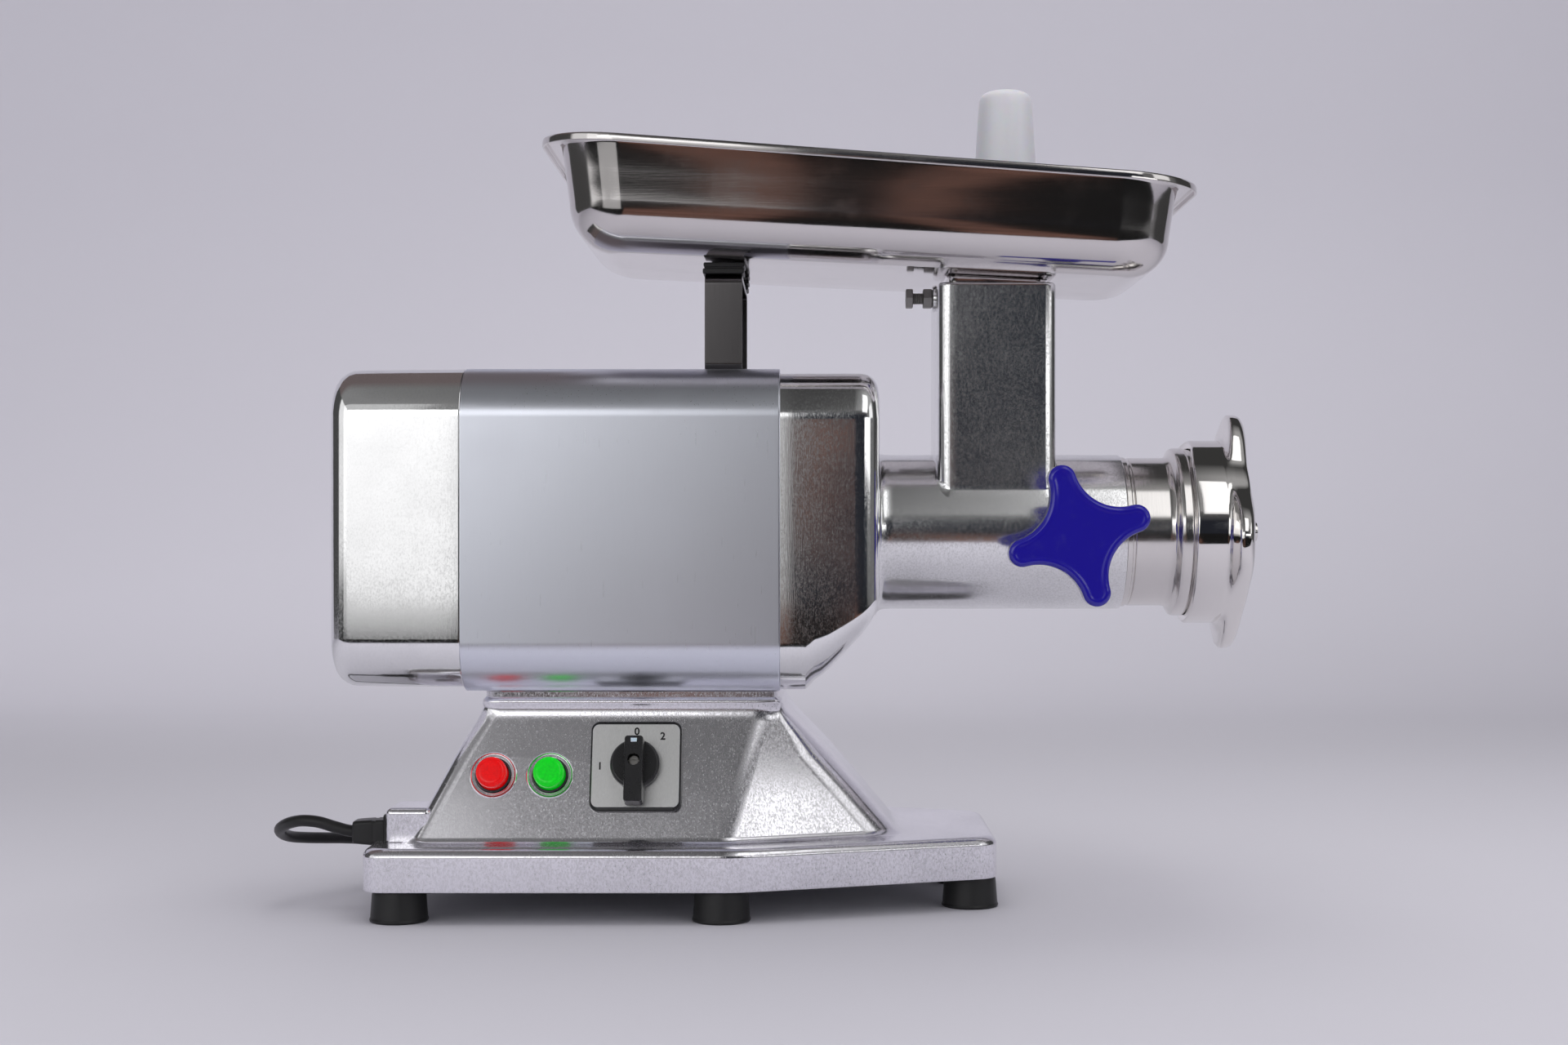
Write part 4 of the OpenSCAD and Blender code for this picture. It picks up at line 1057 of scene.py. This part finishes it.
# %% Bending the strap
STRAP_X, STRAP_WIDTH = -70.5, 25.5


def ribbon(line, x, width):
    """A line of (y, z) points in millimetres, drawn sideways along X from x."""
    bm = bmesh.new()
    verts = [bm.verts.new((x * mm, y * mm, z * mm)) for y, z in line]
    edges = [bm.edges.new(pair) for pair in zip(verts, verts[1:])]
    made = bmesh.ops.extrude_edge_only(bm, edges=edges)["geom"]
    bmesh.ops.translate(bm, vec=(width * mm, 0, 0),
                        verts=[g for g in made if isinstance(g, bmesh.types.BMVert)])
    bmesh.ops.recalc_face_normals(bm, faces=bm.faces)
    return bm


path = soften([(32, 365.25), (58.75, 365.25, 4.5), (58.75, 428.75, 6), (-58.75, 428.75, 6),
               (-58.75, 365.25, 4.5), (-32, 365.25)], 6)
strap = finished("bracket_strap", ribbon(path, STRAP_X, STRAP_WIDTH), bracket_steel, "housing",
                 ["support_bracket"])
thick = strap.modifiers.new("thickness", "SOLIDIFY")
thick.thickness, thick.offset = 2.5 * mm, 0
soft = strap.modifiers.new("edges", "BEVEL")
soft.width, soft.segments, soft.limit_method = 0.7 * mm, 3, "ANGLE"

bm = bmesh.new()
for side in (-1, 1):
    y0, y1 = sorted((side * 36, side * 62))
    block(bm, (-71.75, y0, 430), (-43.75, y1, 433.6), 0.9)
    block(bm, (-70.6, y0 + 1.2, 433), (-44.6, y1 - 1.2, 435.4), 0.4)
    block(bm, (-71.2, y0, 434.6), (-43.2, y1, 437.6), 0.9)
finished("tray_pads", bm, foot_rubber, "housing", ["support_pads"])

# %% [markdown]
# ## The plunger
# A white plastic stick with a wide foot for the neck, a collar that stops it, and a handle that
# narrows to a dome. It is turned plastic, so it is one profile.

# %% Turning the plunger
turned("plunger_moulded",
       [(345, 0), (345, 16, 1), (346.6, 19.4, 1.5), (350, 20.5, 1), (433.6, 20.5, 0.6),
        (434, 41, 0.5), (434.8, 42, 0.4), (438, 42, 0.5), (439.6, 40.6, 0.8), (441, 31, 4),
        (445, 27.5, 2), (452, 25.6, 3), (521, 20.9, 12), (556, 18.8, 3), (562.4, 17.6, 3.5),
        (565.3, 12.5, 3), (565.5, 7, 2), (565.5, 0)],
       plunger_white, "stomper", "white_plastic", ["plunger"], placed(139, 0, 0))

# %% [markdown]
# ## Switch and buttons
# The control face leans back, so these pieces are made lying flat and then set on it with one
# matrix. The switch has a black frame, a brushed plate with plain numbers, and a rotary knob
# with a bar. The buttons are coloured lenses in black collars, each in a bright dished ring.

# %% Frame, plate and rotary knob
SWITCH = on_control_face(-114.3, 98.3)


def flat_stack(sizes, dy=0.0):
    """A closed pile of round-cornered plates: width, height, corner radius and place of each."""
    rings = [[(x, y, z) for x, y in rounded_box_outline(-w / 2, w / 2, dy - h / 2, dy + h / 2, r,
                                                        n=6)] for w, h, r, z in sizes]
    return drawn_shell(rings, close_first=True, close_last=True)


bezel = flat_stack([(60.6, 60.6, 6, 0.2), (60.6, 60.6, 6, 3.2), (60.2, 60.2, 5.8, 4.1),
                    (59.2, 59.0, 5.2, 4.6), (57.6, 55.8, 4.4, 4.6), (57.4, 55.6, 4.3, 4.0)])
finished("switch_bezel", bezel, switch_black, "housing", ["switch_frame"],
         at=SWITCH)
plate = flat_stack([(57.8, 56, 4.6, 4.3), (57.8, 56, 4.6, 5.5), (57.3, 55.5, 4.4, 5.8)])
finished("switch_face_plate", plate, brushed_plate, "housing", ["switch_plate"],
         at=SWITCH)

disc = spun(bmesh.new(), [(6.2, 0), (6.2, 15.6, 0.3), (6.8, 16.5, 0.4), (12.4, 16.5, 1.2),
                          (14.2, 15.2, 0.9), (14.2, 0)], 72)
bar = flat_stack([(12.9, 44, 2.2, 12.6), (12.5, 44, 2.1, 16), (12.2, 43.8, 2.0, 24.8),
                  (11.8, 43.4, 1.8, 25.6), (10.8, 42.4, 1.4, 26)], -6)
bar = carve(bar, rod(bmesh.new(), 4, 16, 40, placed(0, 0, 26)))
finished("rotary_knob", merged(disc, bar), switch_black, "selector",
         ["switch_knob"], at=SWITCH, sharp=35)
finished("knob_pointer", block(bmesh.new(), (-2.0, 11.4, 25.9), (2.0, 14.0, 26.25), 0.2, 2),
         plunger_white, "selector", at=SWITCH)
screw = spun(bmesh.new(), [(18.1, 0), (18.1, 3.85), (20.4, 3.85, 0.5), (21, 3.2, 0.3),
                           (21, 0)], 40)
slot = block(bmesh.new(), (-4.4, -0.5, 20.1), (4.4, 0.5, 22))
finished("knob_screw_head", carve(screw, slot), bolt_steel, "selector",
         ["switch_screw"], at=SWITCH, sharp=30)

# %% Plain numbers on the plate
PLATE_FACE = 5.95


def numeral(text, x, y, height):
    """A number lying on the switch plate, as a mesh."""
    curve = bpy.data.curves.new("numeral", "FONT")
    curve.body, curve.size, curve.extrude = text, height * 1.45 * mm, 0.15 * mm
    curve.offset = 0.16 * mm
    curve.align_x, curve.align_y = "CENTER", "CENTER"
    words = link(bpy.data.objects.new("numeral", curve))
    bpy.context.view_layer.update()
    seen = words.evaluated_get(bpy.context.evaluated_depsgraph_get())
    mesh = bpy.data.meshes.new_from_object(seen)
    bpy.data.objects.remove(words)
    bm = bmesh.new()
    bm.from_mesh(mesh)
    bmesh.ops.translate(bm, vec=Vector((x, y, PLATE_FACE)) * mm, verts=bm.verts)
    return bm


numbers = merged(*[numeral(text, x, y, 4.8) for text, x, y in
                   [("0", 0.4, 22.8), ("1", -23.6, -0.6), ("2", 17.6, 19.6)]])
finished("dial_numbers", numbers, switch_black, "housing", at=SWITCH)

# %% Buttons
BUTTON_CAP = [(-6, 0), (-6, 6), (-2, 6), (-2, 10.2), (9.4, 10.2, 0.5), (10.7, 10.0, 0.5),
              (11.1, 9.3, 0.25), (10.9, 9.0, 0.2), (11.5, 8.6, 0.5), (12, 7.2, 1.5), (12, 0)]
COLLAR = [(-20, 13), (-1.4, 13), (-1.2, 11.6, 0.3), (2.4, 11.5, 0.5), (3.0, 11.0, 0.3),
          (3.0, 10.8, 0.1), (2.4, 10.6), (-9.5, 10.6), (-9.5, 7), (-20, 7)]
DISH = [(0.05, 15.9), (0.5, 15.2, 0.3), (0.45, 14.8, 0.3), (0.1, 14.2, 0.4), (0.05, 12, 0.3),
        (-0.3, 11.65), (-1.2, 11.65), (-1.2, 14.85), (0.02, 15)]
for colour, lens in (("red", red_lens), ("green", green_lens)):
    turned(colour + "_lens_cap", BUTTON_CAP, lens, colour + "_cap", colour + "_plastic",
           [colour + "_button"], on_control_face(*BUTTONS[colour]), 72)
collars = [spun(bmesh.new(), COLLAR, 64, True) for _ in BUTTONS]
dishes = [spun(bmesh.new(), DISH, 72, True) for _ in BUTTONS]
for made, place in zip(collars + dishes, 2 * list(BUTTONS.values())):
    bmesh.ops.transform(made, matrix=on_control_face(*place), verts=made.verts)
finished("button_collars", merged(*collars), switch_black, "housing",
         ["button_bodies"])
finished("button_dishes", merged(*dishes), satin_cast, "housing")

# %% [markdown]
# ## Everything that keeps its shape
# The motor, the gears, the worm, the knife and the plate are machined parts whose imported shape
# is already right. They only need a finish, so each gets one from its material slot.

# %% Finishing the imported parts
slot_finish = {"machined_steel": machined, "motor_iron": motor_iron, "copper_wire": copper_wire,
               "bronze": bronze, "pale_plastic": pale_plastic, "zinc_steel": zinc_plate,
               "bolt_steel": bolt_steel, "stainless": nozzle_steel, "cast_aluminium": bright_cast,
               "black_plastic": body_black, "black_rubber": foot_rubber,
               "cord_rubber": cord_rubber,
               "bracket_steel": bracket_steel, "brushed_sleeve": brushed_sleeve,
               "white_plastic": plunger_white, "blue_plastic": knob_blue, "red_plastic": red_lens,
               "green_plastic": green_lens}
slot_of = {part["node"]: part["material_slot"] for part in frame["record"]["subparts"]}
for name, node in nodes.items():
    node.data.materials.clear()
    node.data.materials.append(slot_finish[slot_of[name]])
print(len(slot_of), "packed parts have a finish")

# %% [markdown]
# ## Even shading
# Smooth shading bends the light a little over every face beside a rounding, and on polished
# metal that bends the reflections too. Weighting the normals by face area keeps flat faces flat.

# %% Weighted normals
for piece in dressed:
    even = piece.modifiers.new("even", "WEIGHTED_NORMAL")
    even.weight = 85
    even.keep_sharp = True

# %% [markdown]
# ## The studio
# The floor and the backdrop are one pale sheet that curves up behind the machine, so there is
# no line between them. The table has light from above and the wall has lamps of its own, while
# the bend between them gets the least, so the paper is painted a shade darker there.

# %% Floor and backdrop
line = [(-3000, 0), (-1500, 0), (0, 0), (1200, 0)]
line += [(1600 + 1000 * math.sin(a), 1000 - 1000 * math.cos(a)) for a in
         [k * math.pi / 32 for k in range(17)]]
line += [(2600, 2200), (2600, 4000)]
sheet_mesh = mesh_from(ribbon(line, -4000, 8000), "studio_sheet")
sheet_mesh.shade_smooth()
sheet = link(bpy.data.objects.new("studio_sheet", sheet_mesh))
paper = Finish("studio_paper", Roughness=0.9, Specular_IOR_Level=0.1)
LAVENDER = (1, 0.985, 1.035)


def shades(f, along, stops, tint=(1, 1, 1), bends="LINEAR"):
    """Grey levels at places along a wire."""
    low, high = stops[0][0], stops[-1][0]
    return f.node("ShaderNodeValToRGB", {"Fac": f.ramp(along, low, high)}, bends=bends,
                  stops=[((place - low) / (high - low), grey(level, tint))
                         for place, level in stops])


# Painted shade on the paper: lighter in front, darker behind the machine, darkest at the bend, and
# lying further back on the right than on the left.
along = paper.axis("Y") + paper.axis("X") * -0.22 + (paper.noise(0.9, 2) - 0.5) * 0.3
steps = [(-0.6, 0.70), (0.1, 0.65), (0.7, 0.55), (1.2, 0.53), (1.7, 0.64), (2.1, 0.73),
         (2.4, 0.79)]
paper.colour(shades(paper, along, steps, LAVENDER, "B_SPLINE"))
sheet_mesh.materials.append(paper.material)

# %% [markdown]
# ## The room and its lamps
# Polished metal shows what stands around it. So this studio has a room that only reflections
# see: a dark front wall and a dark floor for the castings and the tray, a paler stretch of
# wall for the sleeve, and a grey ceiling for everything that looks up. The lamps are broad
# soft panels, because their shapes show as the white areas on the metal.

# %% The sky behind the sheet
world = bpy.data.worlds.new("studio")
bpy.context.scene.world = world
world.use_nodes = True
tree = world.node_tree
seen = tree.nodes.new("ShaderNodeLightPath")
blend = tree.nodes.new("ShaderNodeMix")
blend.data_type = "RGBA"
blend.inputs[6].default_value = (0.58, 0.58, 0.61, 1)
blend.inputs[7].default_value = (0.58, 0.56, 0.63, 1)
rays = None
for kind in ("Is Camera Ray", "Is Glossy Ray", "Is Transmission Ray"):
    either = tree.nodes.new("ShaderNodeMath")
    either.operation = "MAXIMUM"
    tree.links.new(seen.outputs[kind], either.inputs[0])
    if rays:
        tree.links.new(rays, either.inputs[1])
    rays = either.outputs[0]
tree.links.new(rays, blend.inputs["Factor"])
tree.links.new(blend.outputs[2], tree.nodes["Background"].inputs["Color"])

# %% Walls that only reflections see


def room_wall(name, low, high, paint):
    """One side of the room. paint gives the light of the wall from its finish."""
    f = Finish(name, Roughness=1.0, Specular_IOR_Level=0.0)
    f.colour((0, 0, 0))
    f.feed(f.shader.inputs["Emission Color"], paint(f))
    f.feed(f.shader.inputs["Emission Strength"], 1.0)
    mesh = mesh_from(block(bmesh.new(), Vector(low) / mm, Vector(high) / mm), name)
    mesh.materials.append(f.material)
    side = link(bpy.data.objects.new(name, mesh))
    side.visible_camera = side.visible_diffuse = side.visible_shadow = False
    side.visible_transmission = side.visible_volume_scatter = False


def patch(f, *spans):
    """A soft patch: 1 in its middle and 0 outside. Each span is an axis, a middle and a reach."""
    away = 0
    for letter, middle, reach in spans:
        off = (f.axis(letter) + f.noise(5, 2) * reach * 0.6 - middle - 0.3 * reach) * (1 / reach)
        away = off * off + away
    return f.ramp(away, 1.2, 0.5)


def front_paint(f):
    """Pale on the sleeve's side, dark with warm patches in front of the feed head."""
    pale = shades(f, f.axis("Z"), [(0, 0.52), (0.2, 0.58), (0.7, 0.70), (1.25, 1.0), (1.5, 1.9),
                                   (2.2, 1.9), (2.5, 0.16), (3.6, 0.2)])
    pale = f.mix(f.ramp(f.axis("X"), -1, -0.1) * 0.3, pale, grey(0))
    patches = sum(patch(f, ("X", *across), ("Z", *up)) for across, up in
                  [((0, 0.05), (0.42, 0.3)), ((0.16, 0.035), (0.4, 0.06)),
                   ((0.06, 0.13), (0.62, 0.12)), ((0.16, 0.035), (0.2, 0.08))])
    dark = f.mix(patches, (0.016, 0.018, 0.024), (0.15, 0.088, 0.072))
    dark = f.mix(f.ramp(f.axis("Z"), 1.6, 3), dark, grey(0.12))
    return f.mix(f.ramp(f.axis("X"), -0.17, -0.12), pale, dark)


def floor_paint(f):
    """Dark boards with two warm stretches, which show on the wall of the tray."""
    patches = patch(f, ("X", -0.22, 0.13)) + patch(f, ("X", 0.24, 0.1))
    mottle = 0.4 + 0.6 * f.ramp(f.noise(3.5, 3), 0.35, 0.6)
    return f.mix(patches * mottle, grey(0.010), (0.17, 0.09, 0.07))


def ceiling_paint(f):
    """Dark over the gear case, grey on both sides, and dark again towards the back."""
    across = shades(f, f.axis("X"), [(-1.2, 0.2), (-0.6, 0.14), (-0.4, 0.14), (-0.2, 0.1),
                                     (0, 0.045), (0.12, 0.07), (0.3, 0.2), (1.2, 0.35)])
    behind = f.mix(f.ramp(f.axis("X"), -0.3, -0.1), (0.13, 0.105, 0.105), grey(0.04))
    return f.mix(f.ramp(f.axis("Y"), -0.9, 0.1), across, behind)


def left_paint(f):
    """Dark, with a pale field at the height of the motor housing."""
    field = f.ramp(f.axis("Z"), 0.1, 0.2) * f.ramp(f.axis("Y"), -1, -1.4)
    return f.mix(field, grey(0.06), grey(0.8))


def right_paint(f):
    """Grey, with a white field high up for the edges of the castings that face it."""
    y = f.axis("Y")
    field = f.ramp(f.axis("Z"), 0.7, 0.8) * f.ramp(y, -3.5, -3.2) * f.ramp(y, -1, -1.2)
    return f.mix(field, f.mix(f.ramp(y, -0.6, -0.1), grey(0.14), grey(0.05)), grey(0.95))


room_wall("room_front", (-6, -6.05, 0), (6, -6, 3.6), front_paint)
room_wall("room_floor", (-6, -6, 0.004), (6, -0.95, 0.008), floor_paint)
room_wall("room_ceiling", (-6, -6, 3), (6, 2.6, 3.05), ceiling_paint)
room_wall("room_left", (-4, -6, 0.01), (-3.95, 2.6, 3), left_paint)
room_wall("room_right", (3.95, -6, 0.01), (4, 2.6, 3), right_paint)

# %% Lamps


def panel(name, place, look_at, width, height, level, tint=(1, 1, 1)):
    """A soft lamp that faces a point. level is how bright its face looks; 1 is white."""
    lamp = bpy.data.lights.new(name, "AREA")
    lamp.shape, lamp.size, lamp.size_y = "RECTANGLE", width, height
    lamp.energy, lamp.color = math.pi * width * height * level, tint
    made = link(bpy.data.objects.new(name, lamp))
    made.location = place
    made.rotation_euler = (Vector(look_at) - Vector(place)).to_track_quat("-Z", "Y").to_euler()
    return made


panel("left_panel", (-1.05, -1.5, 0.475), (-0.9, 0, 0.475), 1.2, 0.72, 0.4)
panel("high_panel", (-1.1, -1.5, 1.05), (-0.95, 0, 1.0), 1.1, 0.45, 0.3)
panel("right_panel", (0.82, -1.32, 1.55), (0.82, -0.504, 0.972), 0.8, 1.47, 0.95)
panel("corner_panel", (1.3, -1.5, 0.45), (1.15, 0, 0.45), 1.36, 0.2, 1.6)
overhead = panel("overhead", (0.1, 0.1, 2.3), (0, 0.1, 0), 2.2, 1.6, 1.22)
back_panel = panel("back_panel", (0.2, 1.2, 1.9), (0, 0.3, 0.3), 1.8, 0.8, 1.2)
overhead.visible_glossy = back_panel.visible_glossy = False
